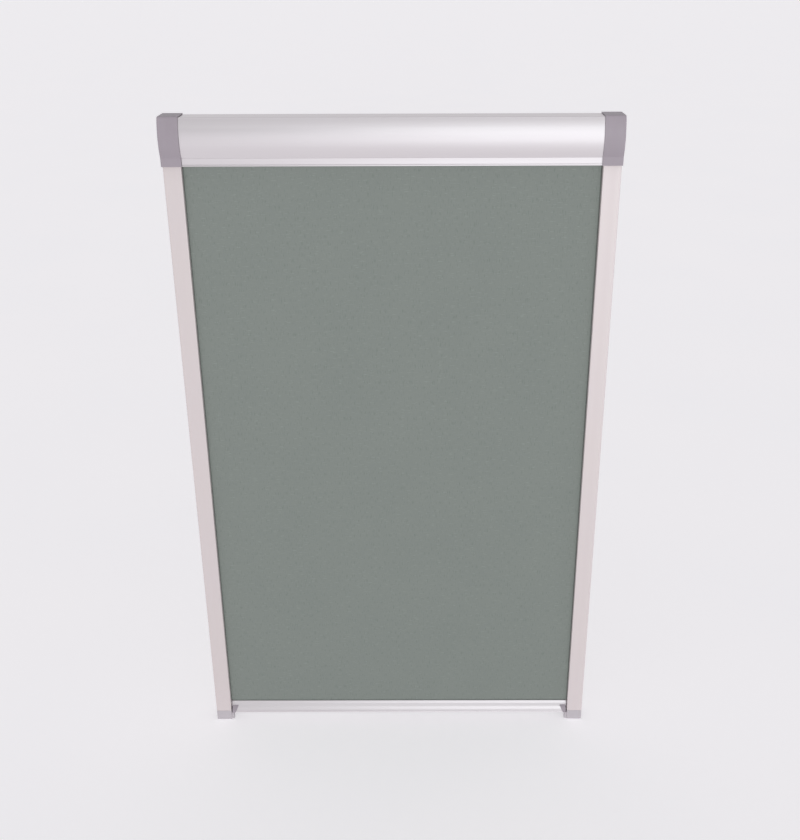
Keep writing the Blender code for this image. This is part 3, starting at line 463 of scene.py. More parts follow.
# Woven polyester: matte. The real threads are about 0.2 mm apart, and they are drawn 1 mm apart to show.
# Slubs about 9 mm long along the weft are a little lighter, and 8 mm shades along the warp a little darker.
def woven_polyester(name):
    material, tree, cloth = new_material(name, "cloth", IOR=1.5, Sheen_Weight=0.08, Sheen_Roughness=0.5)
    threads = {0: cloth, "Scale": WEAVE_SCALE, "Distortion": 0.6}
    warp, weft = (add_node(tree, "ShaderNodeTexWave", threads, "Fac", bands_direction=way) for way in "XY")
    weave = add_node(tree, "ShaderNodeMath", {0: warp, 1: weft}, operation="MULTIPLY")
    slub_place = add_node(tree, "ShaderNodeMapping", {"Vector": cloth, "Scale": (110.0, 720.0, 1.0)})
    slub = add_node(tree, "ShaderNodeTexNoise", {0: slub_place, "Scale": 1.0, "Detail": 1.0})
    thread_place = add_node(tree, "ShaderNodeMapping", {"Vector": cloth, "Scale": (720.0, 120.0, 1.0)})
    thread = add_node(tree, "ShaderNodeTexNoise", {0: thread_place, "Scale": 1.0, "Detail": 1.0})
    cloud = add_node(tree, "ShaderNodeTexNoise", {0: cloth, "Scale": 11.0, "Detail": 3.0})
    flecks = add_node(tree, "ShaderNodeMapRange", {0: slub, 1: 0.62, 2: 0.72, 3: 0.0, 4: 0.9})
    shades = add_node(tree, "ShaderNodeMapRange", {0: thread, 1: 0.28, 2: 0.38, 3: 0.9, 4: 0.0})
    relief = add_node(tree, "ShaderNodeMix", {0: 0.35, 2: weave, 3: slub})
    tints = ((cloud, "#898f8a"), (thread, "#888f8a"), (flecks, "#909893"), (shades, "#7a827d"))
    return dressed(material, "#7f8682", tints, weave, 0.88, 0.78, relief, 0.35, 0.00008, low=0.0)


# Acrylic foam coating: a smooth off-white film in which the weave still shows faintly.
def acrylic_coating(name):
    material, tree, cloth = new_material(name, "cloth", IOR=1.49)
    threads = {0: cloth, "Scale": WEAVE_SCALE}
    warp, weft = (add_node(tree, "ShaderNodeTexWave", threads, "Fac", bands_direction=way) for way in "XY")
    weave = add_node(tree, "ShaderNodeMath", {0: warp, 1: weft}, operation="MULTIPLY")
    cloud = add_node(tree, "ShaderNodeTexNoise", {0: cloth, "Scale": 14.0, "Detail": 4.0})
    return dressed(material, "#d3d3cf", [(cloud, "#dcdcd8")], cloud, 0.55, 0.68, weave, 0.12, 0.00004)


cloth_faces = (woven_polyester("woven_polyester"), acrylic_coating("acrylic_blackout_coating"))


def cloth_mesh(name, line, half_width, wave=lambda x, z: 0 * x):
    """A strip of cloth: a line that runs down in the (y, z) plane, given a width, a wave and a thickness.

    The middle surface is (w c, y + wave, z), with c from -1 to 1 and w the half width. The two faces lie half
    a thickness to each side along the line's normal, and rims join their edges. The UV map holds metres
    across and down the cloth. The front face takes the first finish and the rear face the second.
    """
    line = np.asarray(line, float)
    step = np.gradient(line, axis=0)
    step /= np.linalg.norm(step, axis=1)[:, None]
    normal = np.column_stack([step[:, 1], -step[:, 0]])
    down = np.concatenate([[0], np.cumsum(np.linalg.norm(np.diff(line, axis=0), axis=1))])
    x = np.tile(half_width * np.linspace(-1, 1, CLOTH_COLUMNS), (len(line), 1))
    faces = []
    for face in (0.5, -0.5):
        y = line[:, :1] + wave(x, line[:, 1:]) + face * CLOTH_THICKNESS * normal[:, :1]
        z = line[:, 1:] + face * CLOTH_THICKNESS * normal[:, 1:] + 0 * x
        faces.append(np.stack([x, y, z], axis=-1).reshape(-1, 3))
    points = np.concatenate(faces)
    number = np.arange(x.size).reshape(x.shape)
    quads = skin(faces[0].reshape(*x.shape, 3))[1]
    front = np.concatenate([number[0], number[1:, -1], number[-1, -2::-1], number[-2:0:-1, 0]])
    rear = front + x.size
    rim = np.column_stack([front, rear, np.roll(rear, -1), np.roll(front, -1)])
    every = np.concatenate([quads, quads[:, ::-1] + x.size, rim])
    mesh = bpy.data.meshes.new(name)
    mesh.from_pydata(points.tolist(), [], every.tolist())
    place = np.column_stack([points[:, 0] + CLOTH_HALF_WIDTH, np.tile(np.repeat(down, CLOTH_COLUMNS), 2)])
    mesh.uv_layers.new(name="cloth").data.foreach_set("uv", place[every.ravel()].ravel())
    coated = np.zeros(len(every), np.int32)
    coated[len(quads) : 2 * len(quads)] = 1
    mesh.polygons.foreach_set("material_index", coated)
    return settled(mesh, 50.0)


def leaving_point():
    """Where the cloth leaves the roll: the tangent point of the line from the bend to the roll's back."""
    reach = ROLL_RADIUS + CLEAR + CLOTH_THICKNESS / 2
    span = np.array([CLOTH_Y - ROLLER_Y, BEND_Z])
    swing = math.atan2(span[1], span[0]) + math.acos(reach / np.linalg.norm(span))
    return np.array([ROLLER_Y + reach * math.cos(swing), reach * math.sin(swing)])


leaving = leaving_point()
bend = np.array([CLOTH_Y, BEND_Z])
lead_direction = (bend - leaving) / np.linalg.norm(bend - leaving)
bend_reach = BEND_RADIUS * math.tan(math.acos(-lead_direction[1]) / 2)
bend_start = bend - lead_direction * bend_reach
panel_top = BEND_Z - bend_reach
s = np.linspace(0, 1, 9)[:, None]
lead_bend = (1 - s) ** 2 * bend_start + 2 * s * (1 - s) * bend + s**2 * np.array([CLOTH_Y, panel_top])
lead_line = np.vstack([leaving + (bend_start - leaving) * np.linspace(0, 0.94, 10)[:, None], lead_bend])
lead_mesh = cloth_mesh("cloth_lead", lead_line, CLOTH_HALF_WIDTH)
cloth_lead = add_piece(lead_mesh, "frame", cloth_faces, "blackout_cloth", even=False)


def cloth_wave(x, z):
    """The slight unevenness of taut cloth: 0.10 mm of two long waves, gone at the top and at the bar."""
    hold = np.clip((panel_top - z) / 0.10, 0, 1) * np.clip((z - HEM_TOP) / 0.10, 0, 1)
    return hold * (0.00007 * np.sin(x * 46 + z * 9) + 0.00003 * np.sin(x * 17 - z * 31 + 1.3))


panel_foot = HEM_TOP + 0.0004
panel_line = [(CLOTH_Y, z) for z in np.linspace(panel_top, panel_foot, PANEL_ROWS)]
panel_mesh = cloth_mesh("cloth_panel", panel_line, CLOTH_HALF_WIDTH, cloth_wave)
cloth_panel = add_piece(panel_mesh, "frame", cloth_faces, "blackout_cloth", "fabric_panel", even=False)
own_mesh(cloth_panel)
hem_line = [(CLOTH_Y, z) for z in np.linspace(panel_foot - HEM_LAP, HEM_BOTTOM, 5)]
hem_mesh = cloth_mesh("cloth_hem", hem_line, CLOTH_HEM_HALF_WIDTH)
cloth_hem = add_piece(hem_mesh, "bar", cloth_faces, "blackout_cloth", even=False)


# The roll shows the cloth's coated side. Its fine relief, real about 0.2 mm, is drawn 0.6 mm.
def rolled_coating(name):
    material, tree, place = new_material(name, IOR=1.49)
    cloud = add_node(tree, "ShaderNodeTexNoise", {0: place, "Scale": 14.0, "Detail": 4.0})
    turns = add_node(tree, "ShaderNodeTexNoise", {0: place, "Scale": 1600.0, "Detail": 1.0})
    return dressed(material, "#cfcfcb", [(cloud, "#dadad6")], cloud, 0.55, 0.68, turns, 0.15, 0.00005)


def roll_spiral(count=96):
    """The outside of the cloth left on the tube: a spiral that grows by one thickness in a turn."""
    angle = np.linspace(0, 2 * math.pi, count, endpoint=False)
    start = math.atan2(leaving[1], leaving[0] - ROLLER_Y)
    outer = ROLL_RADIUS - CLOTH_THICKNESS * angle / (2 * math.pi)
    turned = np.column_stack([np.cos(angle + start), np.sin(angle + start)])
    return np.array([ROLLER_Y, 0.0]) + outer[:, None] * turned


roll_bore = ring((ROLLER_Y, 0.0), TUBE_RADIUS + CLEAR, 48)
roll = extrusion(roll_spiral(), [roll_bore], -CLOTH_HALF_WIDTH, CLOTH_HALF_WIDTH, "X")
roll_finish = rolled_coating("rolled_blackout_cloth")
add_piece(make_mesh("cloth_roll", roll), "roller", roll_finish, "blackout_cloth", "fabric_roll")


# CASSETTE FASCIA
# The crowned front of the cassette: an aluminium extrusion that hooks on the housing. A vertical band runs
# below the crown, with a fine groove and a rounded bead at its foot. A pile strip closes the gap between
# the band's foot and the cloth.
CROWN_RADIUS = 0.070
CROWN_Y = 0.029
CROWN_Z = 0.0055
CORNER_RADIUS = 0.004
BAND_TOP = -0.0190
FASCIA_INSET = 0.0016
FASCIA_WALL = 0.0013
PILE_FACE = -0.0195


def crown_y(inset, z):
    """The crown's Y at a height: Yc - sqrt((R - inset)^2 - (z - Zc)^2)."""
    return CROWN_Y - np.sqrt((CROWN_RADIUS - inset) ** 2 - (z - CROWN_Z) ** 2)


def crown_line(inset, high_z, low_z, count):
    """Points down the crown between two heights, evenly turned about its centre (Yc, Zc)."""
    radius = CROWN_RADIUS - inset
    high, low = np.arcsin((high_z - CROWN_Z) / radius), np.arcsin((low_z - CROWN_Z) / radius)
    turn = np.linspace(high, low, count)
    return np.column_stack([CROWN_Y - radius * np.cos(turn), CROWN_Z + radius * np.sin(turn)])


def corner_line(inset, count=9):
    """The rounded top corner, from the top edge to where it meets the crown, as an arc that touches both."""
    small, large = CORNER_RADIUS - inset, CROWN_RADIUS - inset
    rise = CASSETTE_TOP - CORNER_RADIUS - CROWN_Z
    centre_y = CROWN_Y - math.sqrt((large - small) ** 2 - rise**2)
    meeting = math.atan2(rise, CROWN_Y - centre_y)
    turn = np.linspace(math.pi / 2, math.pi - meeting, count)
    centre = np.array([centre_y, CASSETTE_TOP - CORNER_RADIUS])
    return centre + small * np.column_stack([np.cos(turn), np.sin(turn)]), CROWN_Z + large * math.sin(meeting)


band_y = float(crown_y(FASCIA_INSET, BAND_TOP)) + 0.0004
inner_inset = FASCIA_INSET + FASCIA_WALL
floor_z = CASSETTE_BOTTOM + FASCIA_WALL
outer_corner, outer_meeting = corner_line(FASCIA_INSET)
inner_corner, inner_meeting = corner_line(inner_inset)
band_and_foot = [
    (band_y, BAND_TOP - 0.0003), (band_y, -0.0274), (band_y + 0.0003, -0.0275), (band_y + 0.0003, -0.0277),
    (band_y - 0.0002, -0.0281), (band_y - 0.0005, -0.0296), (band_y - 0.0001, CASSETTE_BOTTOM),
]
pile_groove_and_port = [
    (PILE_FACE, CASSETTE_BOTTOM), (PILE_FACE, -0.0275), (PILE_FACE - 0.0008, -0.0275),
    (PILE_FACE - 0.0008, -0.0290), (PILE_FACE - 0.0020, -0.0290), (PILE_FACE - 0.0020, -0.0226),
    (PILE_FACE - 0.0008, -0.0226), (PILE_FACE - 0.0008, -0.0241), (PILE_FACE, -0.0241), (PILE_FACE, -0.0216),
    (PILE_FACE - 0.0030, -0.0216), (PILE_FACE - 0.0030, floor_z), (-0.0280, floor_z), (-0.0280, -0.0229),
    (band_y + FASCIA_WALL, -0.0229), (band_y + FASCIA_WALL, BAND_TOP - 0.0003),
]
hook_rib = [(-0.0262, 0.0252), (-0.0262, 0.0305), (-0.0275, 0.0305), (-0.0275, 0.0265)]
fascia_line = [
    [(-0.0303, CASSETTE_TOP - FASCIA_INSET)],
    outer_corner,
    crown_line(FASCIA_INSET, outer_meeting, BAND_TOP, 60)[1:],
    band_and_foot,
    pile_groove_and_port,
    crown_line(inner_inset, 0.0252, BAND_TOP, 30)[::-1],
    hook_rib,
    crown_line(inner_inset, inner_meeting, 0.0265, 6)[::-1],
    inner_corner[::-1][1:],
    [(-0.0303, CASSETTE_TOP - inner_inset)],
]
fascia_outline = eased(np.vstack(fascia_line), 0.00025)
fascia = extrusion(fascia_outline, [ring(FASCIA_BORE, SCREW_BORE, 20)], *EXTRUSION_ENDS, "X")
fascia_mesh = make_mesh("fascia_extrusion", fascia, 24.0)
add_piece(fascia_mesh, "frame", aluminium_across, "satin_aluminium", "cassette_fascia")


# Pile weatherstrip: dense grey polypropylene fibres that stand straight out of a woven backing. The fibres
# are far finer than a pixel, so the pattern's tufts are 0.5 mm wide and the mesh's are 1.3 mm apart.
def standing_pile(name):
    material, tree, place = new_material(name, IOR=1.49, Sheen_Weight=0.25)
    tuft = add_node(tree, "ShaderNodeTexNoise", {0: place, "Scale": 2000.0, "Detail": 2.0})
    cloud = add_node(tree, "ShaderNodeTexNoise", {0: place, "Scale": 60.0, "Detail": 1.0})
    mottle = add_node(tree, "ShaderNodeMix", {0: 0.3, 2: tuft, 3: cloud})
    tints = [(mottle, "#b8bab9")]
    return dressed(material, "#7a7c7b", tints, tuft, 0.98, 0.86, tuft, 0.6, 0.0003, low=0.2)


grey_pile = standing_pile("standing_polypropylene_pile")


def pile_skins(root, out, across, sizes, low, high, axis, seed):
    """A pile strip along X or Z: a flat backing in its groove and a tuft whose tips are uneven.

    The sizes are half the backing's width, half the tuft's, and the tuft's height H. The tuft's tip stands at
    H f - drop, with f falling from 1 in the middle to 0.75 at its edges, and the drop random from tuft to
    tuft, 0 to 0.35 mm. Its root stands 1.2 mm down in the groove, in the backing.
    """
    backing_half, tuft_half, tuft_height = sizes
    root, out, across = (np.asarray(value, float) for value in (root, out, across))
    backing = np.array([(-1, -0.00175), (1, -0.00175), (1, -0.00105), (-1, -0.00105)])
    section = root + backing[:, :1] * backing_half * across + backing[:, 1:] * out
    count = int((high - low) / 0.0013)
    along = np.linspace(low, high, count)
    place = tuft_half * np.array([-1.0, -1.0, -0.93, -0.5, 0.0, 0.5, 0.93, 1.0, 1.0])
    rest = np.array([-0.0012, 0.0, 0.75, 0.97, 1.0, 0.97, 0.75, 0.0, -0.0012])
    drop = np.random.default_rng(seed).random((len(place), count)) * 0.00035
    height = np.where((rest > 0)[:, None], rest[:, None] * tuft_height - drop, rest[:, None])
    grid = (root + place[:, None] * across)[:, None, :] + height[..., None] * out
    u, v = grid[..., 0], grid[..., 1]
    spread = np.broadcast_to(along, u.shape)
    points = np.stack({"X": (spread, u, v), "Z": (u, v, spread)}[axis], axis=-1)
    tuft_ends = [flat([grid[:, end]], square_to(axis, along[end])) for end in (0, -1)]
    return [*extrusion(section, [], low, high, axis), skin(points, close_rows=True), *tuft_ends]


def add_pile(name, node, body, skins):
    """A pile strip as a piece of its own."""
    add_piece(make_mesh(name, skins, 60.0), body, grey_pile, "grey_pile", node, even=False)


strip = pile_skins((PILE_FACE, -0.0258), (1, 0), (0, 1), (0.0029, 0.0014, 0.00245), -0.2990, 0.2990, "X", 3)
add_pile("fascia_pile_strip", "fascia_pile", "frame", strip)


# Pressed wool felt: dark grey, dull, with tangled fibres drawn about 1 mm long.
def pressed_felt(name):
    material, tree, place = new_material(name, IOR=1.5, Sheen_Weight=0.2)
    tangle = {0: place, "Scale": 1100.0, "Detail": 4.0, "Distortion": 1.5}
    fibre = add_node(tree, "ShaderNodeTexNoise", tangle)
    return dressed(material, "#414145", [(fibre, "#737378")], fibre, 0.98, 0.88, fibre, 0.5, 0.0002, low=0.2)


refinish(pressed_felt("pressed_wool_felt"), "guide_felt", "friction_pad_left", "friction_pad_right")


# END CAPS
# Grey ABS mouldings, open at the back and below, that slip over the cassette's ends. Each has the crown's
# shape, 1.3 mm walls, softened edges and two bosses for the screws that fix it to the end plate.
CAP_INNER_EDGE = 0.2799
CAP_WALL = 0.0013
CAP_END_WALL = 0.0016
CAP_EDGE = 0.0008
CAP_SCREWS = ((-0.0120, 0.0210), (-0.0300, -0.0120))
CAP_SCREW = (0.0027, 0.0016, 0.0012, 0.0066)
CAP_SEAT_RADIUS = 0.0033
CAP_BOSS_RADIUS = 0.0036
SCREW_HOLE_RADIUS = 0.0016


# Moulded ABS or nylon, mid grey with a lilac cast. The mould is spark eroded, which leaves a fine matte
# grain, real about 0.1 mm and drawn 0.5 mm. Soft flow clouds 15 to 40 mm across vary the tone a little.
def moulded_grey(name, dark, light, roughness):
    material, tree, place = new_material(name, IOR=1.54)
    flow = add_node(tree, "ShaderNodeTexNoise", {0: place, "Scale": 38.0, "Detail": 3.0})
    grain = add_node(tree, "ShaderNodeTexNoise", {0: place, "Scale": 2000.0, "Detail": 1.0})
    mottle = add_node(tree, "ShaderNodeMix", {0: 0.25, 2: flow, 3: grain})
    gloss = (grain, roughness - 0.05, roughness + 0.07)
    return dressed(material, dark, [(mottle, light)], *gloss, grain, 0.25, 0.00005)


grey_abs = moulded_grey("moulded_grey_abs", "#9d949c", "#aba2ab", 0.46)


def cap_path(inset):
    """The cap's front in section, from its back edge over the top corner, down the crown and the band."""
    corner, meeting = corner_line(inset)
    foot = np.array([-0.0240, -0.0270, -0.0280, -0.0286, -0.0291, -0.0295, -0.0298, CASSETTE_BOTTOM])
    band = np.column_stack([np.full(len(foot), float(crown_y(inset, BAND_TOP))), foot])
    top = [(0.0, CASSETTE_TOP - inset), (-0.0150, CASSETTE_TOP - inset)]
    return np.vstack([top, corner, crown_line(inset, meeting, BAND_TOP, 48)[1:], band])


def mantle(path, insets, places):
    """A skin across a path at several insets: path(inset) laid square to X at each place, as a grid."""
    sections = [path(inset) for inset in insets]
    laid = [np.column_stack([np.broadcast_to(x, len(line)), line]) for line, x in zip(sections, places)]
    return np.stack(laid, axis=1)


def lathe(centre, profile, axis, count=24):
    """A turned hole or boss: a circle of each radius about the centre, at each place along the axis."""
    rings = [square_to(axis, place)(ring(centre, radius, count)) for radius, place in profile]
    return skin(np.stack(rings), close_columns=True)


def end_cap(side):
    """The cap's skins: outside and lining, its rim, its end wall's two faces, and its flat back and bottom.

    At the end face the outside turns in by e (1 - cos a) while it goes out by e sin a, with e its radius.
    """
    a = np.linspace(0, math.pi / 2, 6)
    turned_in, gone_out = CAP_EDGE * (1 - np.cos(a)), HALF_WIDTH - CAP_EDGE * (1 - np.sin(a))
    rim = CAP_INNER_EDGE + np.array([0, 0.0003])
    wall_x = HALF_WIDTH - CAP_END_WALL
    outside = mantle(cap_path, [0.0003, 0, 0, *turned_in], side * np.array([*rim, 0.300, *gone_out]))
    lining = mantle(cap_path, [CAP_WALL - 0.0003, CAP_WALL, CAP_WALL], side * np.array([*rim, wall_x]))
    corner = [(0.0, CASSETTE_BOTTOM)]
    seats, bosses = ([ring(spot, r, 24) for spot in CAP_SCREWS] for r in (CAP_SEAT_RADIUS, CAP_BOSS_RADIUS))
    ends_x = [side * HALF_WIDTH, side * wall_x]
    foot = [(x, CASSETTE_BOTTOM) for x in ends_x]
    rear = np.vstack([outside[0][:, [0, 2]], foot, lining[0][::-1][:, [0, 2]]])
    below = np.vstack([outside[-1][:, :2], [(x, 0.0) for x in ends_x], lining[-1][::-1][:, :2]])
    seat = [
        (CAP_SEAT_RADIUS, side * HALF_WIDTH), (0.0031, side * 0.3073), (0.0031, side * 0.3055),
        (SCREW_HOLE_RADIUS, side * 0.3055), (SCREW_HOLE_RADIUS, side * 0.3023),
        (CAP_BOSS_RADIUS, side * 0.3023), (CAP_BOSS_RADIUS, side * wall_x),
    ]
    return [
        skin(outside),
        skin(lining),
        skin(np.stack([outside[:, 0], lining[:, 0]], axis=1)),
        flat([np.vstack([outside[:, -1, 1:], corner]), *seats], square_to("X", ends_x[0])),
        flat([np.vstack([lining[:, -1, 1:], corner]), *bosses], square_to("X", ends_x[1])),
        flat([rear], square_to("Y", 0.0)),
        flat([below], square_to("Z", CASSETTE_BOTTOM)),
        *[lathe(spot, seat, "X") for spot in CAP_SCREWS],
    ]


for side, name in SIDES:
    cap_mesh = make_mesh(f"end_cap_moulding_{name}", end_cap(side), 28.0)
    add_piece(cap_mesh, "frame", grey_abs, "grey_cap_plastic", f"end_cap_{name}")
    for where, (y, z) in zip(("upper", "lower"), CAP_SCREWS):
        node = f"end_cap_screw_{where}_{name}"
        head = (side * (HALF_WIDTH - 0.0017), y, z)
        add_screw(f"cap_screw_{where}_{name}", node, "frame", head, (-side, 0, 0), CAP_SCREW)


# SIDE CHANNELS
# Two C-shaped aluminium extrusions whose slots hold the cloth's edges between pile strips. Three holes in
# each outer wall take the fixing screws, and two bores take the foot's screws.
CHANNEL_FACE = 0.025
CHANNEL_DEPTH = 0.028
CHANNEL_WALL = 0.0015
CHANNEL_LOW = SOLE_Z + 0.018
CHANNEL_HIGH = CASSETTE_BOTTOM - CLEAR
CHANNEL_BORES = ((0.0044, 0.0044), (0.0044, 0.0236))
CHANNEL_HOLES = (0.090, 0.490, 0.890)
CHANNEL_HOLE_RADIUS = 0.0021
CHANNEL_PILE = (0.0029, 0.0014, 0.0024)
PORT = 0.0073


def in_channel(side, points):
    """Turns (distance from the outer face, distance from the back) into (x, y)."""
    points = np.asarray(points, float)
    return np.column_stack([side * (HALF_WIDTH - points[:, 0]), -points[:, 1]])


def box_front():
    """The front of the channel's box and of its foot: a 1.6 mm corner by the slot, a 1.0 mm one outside."""
    turn = np.linspace(0, math.pi / 2, 7)
    quarter = np.column_stack([np.cos(turn), np.sin(turn)])
    inner = (CHANNEL_FACE - 0.0016, CHANNEL_DEPTH - 0.0016) + 0.0016 * quarter
    return np.vstack([inner, (0.0010, CHANNEL_DEPTH - 0.0010) + 0.0010 * quarter[::-1] * (-1, 1)])


def channel_outline(side):
    """The channel's section: box walls, two bores' blocks and two legs with a groove for a pile strip."""
    rear_leg = [
        (CHANNEL_FACE, 0.0120), (0.0226, 0.0120), (0.0226, 0.0112), (0.0241, 0.0112), (0.0241, 0.0100),
        (0.0177, 0.0100), (0.0177, 0.0112), (0.0192, 0.0112), (0.0192, 0.0120), (0.0164, 0.0120),
        (0.0164, 0.0090),
    ]
    front_leg = [(across, -2 * CLOTH_Y - forward) for across, forward in reversed(rear_leg)]
    low, high, leg = CHANNEL_WALL, CHANNEL_DEPTH - CHANNEL_WALL, CHANNEL_FACE - CHANNEL_WALL
    inside = [
        (leg, 0.0090), (leg, low), (PORT, low), (PORT, PORT), (low, PORT), (low, CHANNEL_DEPTH - PORT),
        (PORT, CHANNEL_DEPTH - PORT), (PORT, high), (leg, high), (leg, 0.0240),
    ]
    line = np.vstack([[(0, 0), (CHANNEL_FACE, 0)], rear_leg, inside, front_leg, box_front()])
    return eased(in_channel(side, line), 0.00025)


def channel(side):
    """The channel's skins: walls with three holes through the outer one, the bores and the two cut ends."""
    outline = channel_outline(side)
    span = (CHANNEL_LOW, CHANNEL_HIGH)
    x_out, x_in = side * HALF_WIDTH, side * (HALF_WIDTH - CHANNEL_WALL)
    holed = [side_near(outline, (x, -CHANNEL_DEPTH / 2)) for x in (x_out, x_in)]
    holes = [((x_out, CLOTH_Y), SOLE_Z + height) for height in CHANNEL_HOLES]
    bores = [ring(bore, SCREW_BORE, 20) for bore in in_channel(side, CHANNEL_BORES)]
    skins = extrusion(outline, bores, *span, "Z", holed)
    skins += [pierced_side(outline, wall, *span, "Z", holes, CHANNEL_HOLE_RADIUS) for wall in holed]
    return skins + [walls(ring((CLOTH_Y, z), CHANNEL_HOLE_RADIUS), x_out, x_in, "X") for _, z in holes]


for side, name in SIDES:
    channel_mesh = make_mesh(f"channel_extrusion_{name}", channel(side))
    add_piece(channel_mesh, "frame", aluminium_upright, "satin_aluminium", f"channel_{name}")
    for where, mouth, out in (("rear", 0.0120, -1), ("front", 0.0210, 1)):
        root = in_channel(side, [(0.0209, mouth)])[0]
        run = (CHANNEL_LOW + CLEAR, CHANNEL_HIGH - CLEAR)
        strip = pile_skins(root, (0, out), (1, 0), CHANNEL_PILE, *run, "Z", 5)
        add_pile(f"channel_pile_strip_{where}_{name}", f"channel_pile_{where}_{name}", "frame", strip)


# CHANNEL FEET
# Moulded nylon blocks that plug into the channels' lower ends, each held by two screws from below. A tab on
# the inner side is the stop that the pull bar rests on, and a pocket below keeps the wall thickness even.
FOOT_SCREW = (0.0027, 0.0019, 0.0012, 0.0240)
FOOT_SEAT_RADIUS = 0.0031
POCKET_TOP = SOLE_Z + 0.0125
TAB_TOP = SOLE_Z + 0.0130
SPIGOT_TOP = SOLE_Z + 0.0214
foot_plastic = moulded_grey("moulded_grey_nylon", "#beb8be", "#ccc6cb", 0.5)


def shrunk(loop, distance):
    """A closed outline moved inwards by a distance: each point goes along its corner's bisector."""
    step = np.roll(loop, -1, 0) - loop
    step /= np.linalg.norm(step, axis=1)[:, None]
    area = (loop[:, 0] * np.roll(loop[:, 1], -1) - np.roll(loop[:, 0], -1) * loop[:, 1]).sum()
    inward = np.sign(area) * np.column_stack([-step[:, 1], step[:, 0]])
    both = inward + np.roll(inward, 1, 0)
    both /= np.linalg.norm(both, axis=1)[:, None]
    return loop + distance * both / np.maximum((both * inward).sum(1), 0.6)[:, None]


def block_walls(outline, low, high, edge_low, edge_high):
    """A block's walls along Z whose lower and upper edges are rounded: e (1 - cos a) in for e sin a along."""
    a = np.linspace(0, math.pi / 2, 5)
    insets = [*edge_low * (1 - np.sin(a)), *edge_high * (1 - np.cos(a))]
    places = [*low + edge_low * (1 - np.cos(a)), *high - edge_high * (1 - np.sin(a))]
    return np.stack([square_to("Z", z)(shrunk(outline, inset)) for inset, z in zip(insets, places)])


def rectangle(side, across, forward, radius):
    """A rectangle in a channel's section with eased corners."""
    (a0, a1), (f0, f1) = across, forward
    return eased(in_channel(side, [(a0, f0), (a1, f0), (a1, f1), (a0, f1)]), radius, 5)


def foot(side):
    """The foot's skins: the block with its pocket, screw seats and spigot, and the stop tab beside it."""
    outline = eased(in_channel(side, np.vstack([[(0, 0), (CHANNEL_FACE, 0)], box_front()])), 0.0006)
    top = CHANNEL_LOW - CLEAR
    block = block_walls(outline, SOLE_Z, top, 0.0010, 0.0002)
    spigot = rectangle(side, (0.0022, 0.0120), (0.0080, 0.0200), 0.0008)
    levels = ((0, top), (0, SPIGOT_TOP - 0.0010), (0.0008, SPIGOT_TOP))
    spigot_walls = np.stack([square_to("Z", z)(shrunk(spigot, inset)) for inset, z in levels])
    pocket = rectangle(side, (0.0095, 0.0225), (0.0025, 0.0255), 0.0012)
    stop = rectangle(side, (0.0245, 0.0285), (0.0195, 0.0265), 0.0009)
    tab = block_walls(stop, SOLE_Z, TAB_TOP, 0.0010, 0.0006)
    bores = in_channel(side, CHANNEL_BORES)
    seats, holes = ([ring(bore, r, 24) for bore in bores] for r in (FOOT_SEAT_RADIUS, SCREW_HOLE_RADIUS))
    seat = [
        (FOOT_SEAT_RADIUS, SOLE_Z), (FOOT_SEAT_RADIUS, SOLE_Z + 0.0040),
        (SCREW_HOLE_RADIUS, SOLE_Z + 0.0040), (SCREW_HOLE_RADIUS, top),
    ]
    return [
        skin(block, close_columns=True),
        flat([block[0][:, :2], pocket, *seats], square_to("Z", SOLE_Z)),
        flat([block[-1][:, :2], spigot, *holes], square_to("Z", top)),
        walls(pocket, SOLE_Z, POCKET_TOP, "Z"),
        flat([pocket], square_to("Z", POCKET_TOP)),
        skin(spigot_walls, close_columns=True),
        flat([spigot_walls[-1][:, :2]], square_to("Z", SPIGOT_TOP)),
        *[lathe(bore, seat, "Z") for bore in bores],
        skin(tab, close_columns=True),
        flat([tab[0][:, :2]], square_to("Z", SOLE_Z)),
        flat([tab[-1][:, :2]], square_to("Z", TAB_TOP)),
    ]


for side, name in SIDES:
    foot_mesh = make_mesh(f"channel_foot_moulding_{name}", foot(side))
    add_piece(foot_mesh, "frame", foot_plastic, "grey_foot_plastic", f"channel_foot_{name}")
    for where, (x, y) in zip(("rear", "front"), in_channel(side, CHANNEL_BORES)):
        node = f"foot_screw_{where}_{name}"
        head = (x, y, SOLE_Z + 0.0037)
        add_screw(f"foot_screw_turned_{where}_{name}", node, "frame", head, (0, 0, 1), FOOT_SCREW)


# PULL BAR
# An aluminium extrusion across the blind's foot. Its round chamber clamps the cloth's hem with a rod, its
# front is the rolled grip with a thin groove and a lip, and its hollow takes the sliders' plugs.
BAR_END = 0.2816
GRIP_END = 0.2788
BAR_REAR = -0.0130
BAR_INNER_REAR = -0.0145
BAR_TOP = 0.0315
BAR_UNDERSIDE = 0.0142
BAR_FLOOR = 0.0170
BAR_CEILING = 0.0216
GRIP_CUT = -0.0230
CLAMP_RADIUS = 0.0023
CLAMP_HEIGHT = 0.0252
CLAMP_SLIT = 0.00065
SEAL_LIP = BAR_UNDERSIDE + 0.0008
SLIDER_SCREW_X = 0.270
SLIDER_SCREW_Z = SOLE_Z + 0.0193
SLIDER_HOLE_RADIUS = 0.0014
SLIDER_SCREW = (0.0020, 0.0013, 0.0009, 0.0048, 0.0007)
GRIP = [
    (-0.0207, 0.0277), (-0.0224, 0.0262), (-0.0244, 0.0246), (-0.0258, 0.0228), (-0.0272, 0.0204),
    (-0.0278, 0.0186), (-0.0280, 0.0156), (-0.0280, 0.0149), (-0.0276, 0.0142),
]
GRIP_GROOVE = [(-0.0278, 0.0184), (-0.0269, 0.0180), (-0.0269, 0.0170), (-0.0274, 0.0167)]


def above_sole(points):
    """Heights above the soles, as places in the shared frame."""
    return np.asarray(points, float) + (0.0, SOLE_Z)


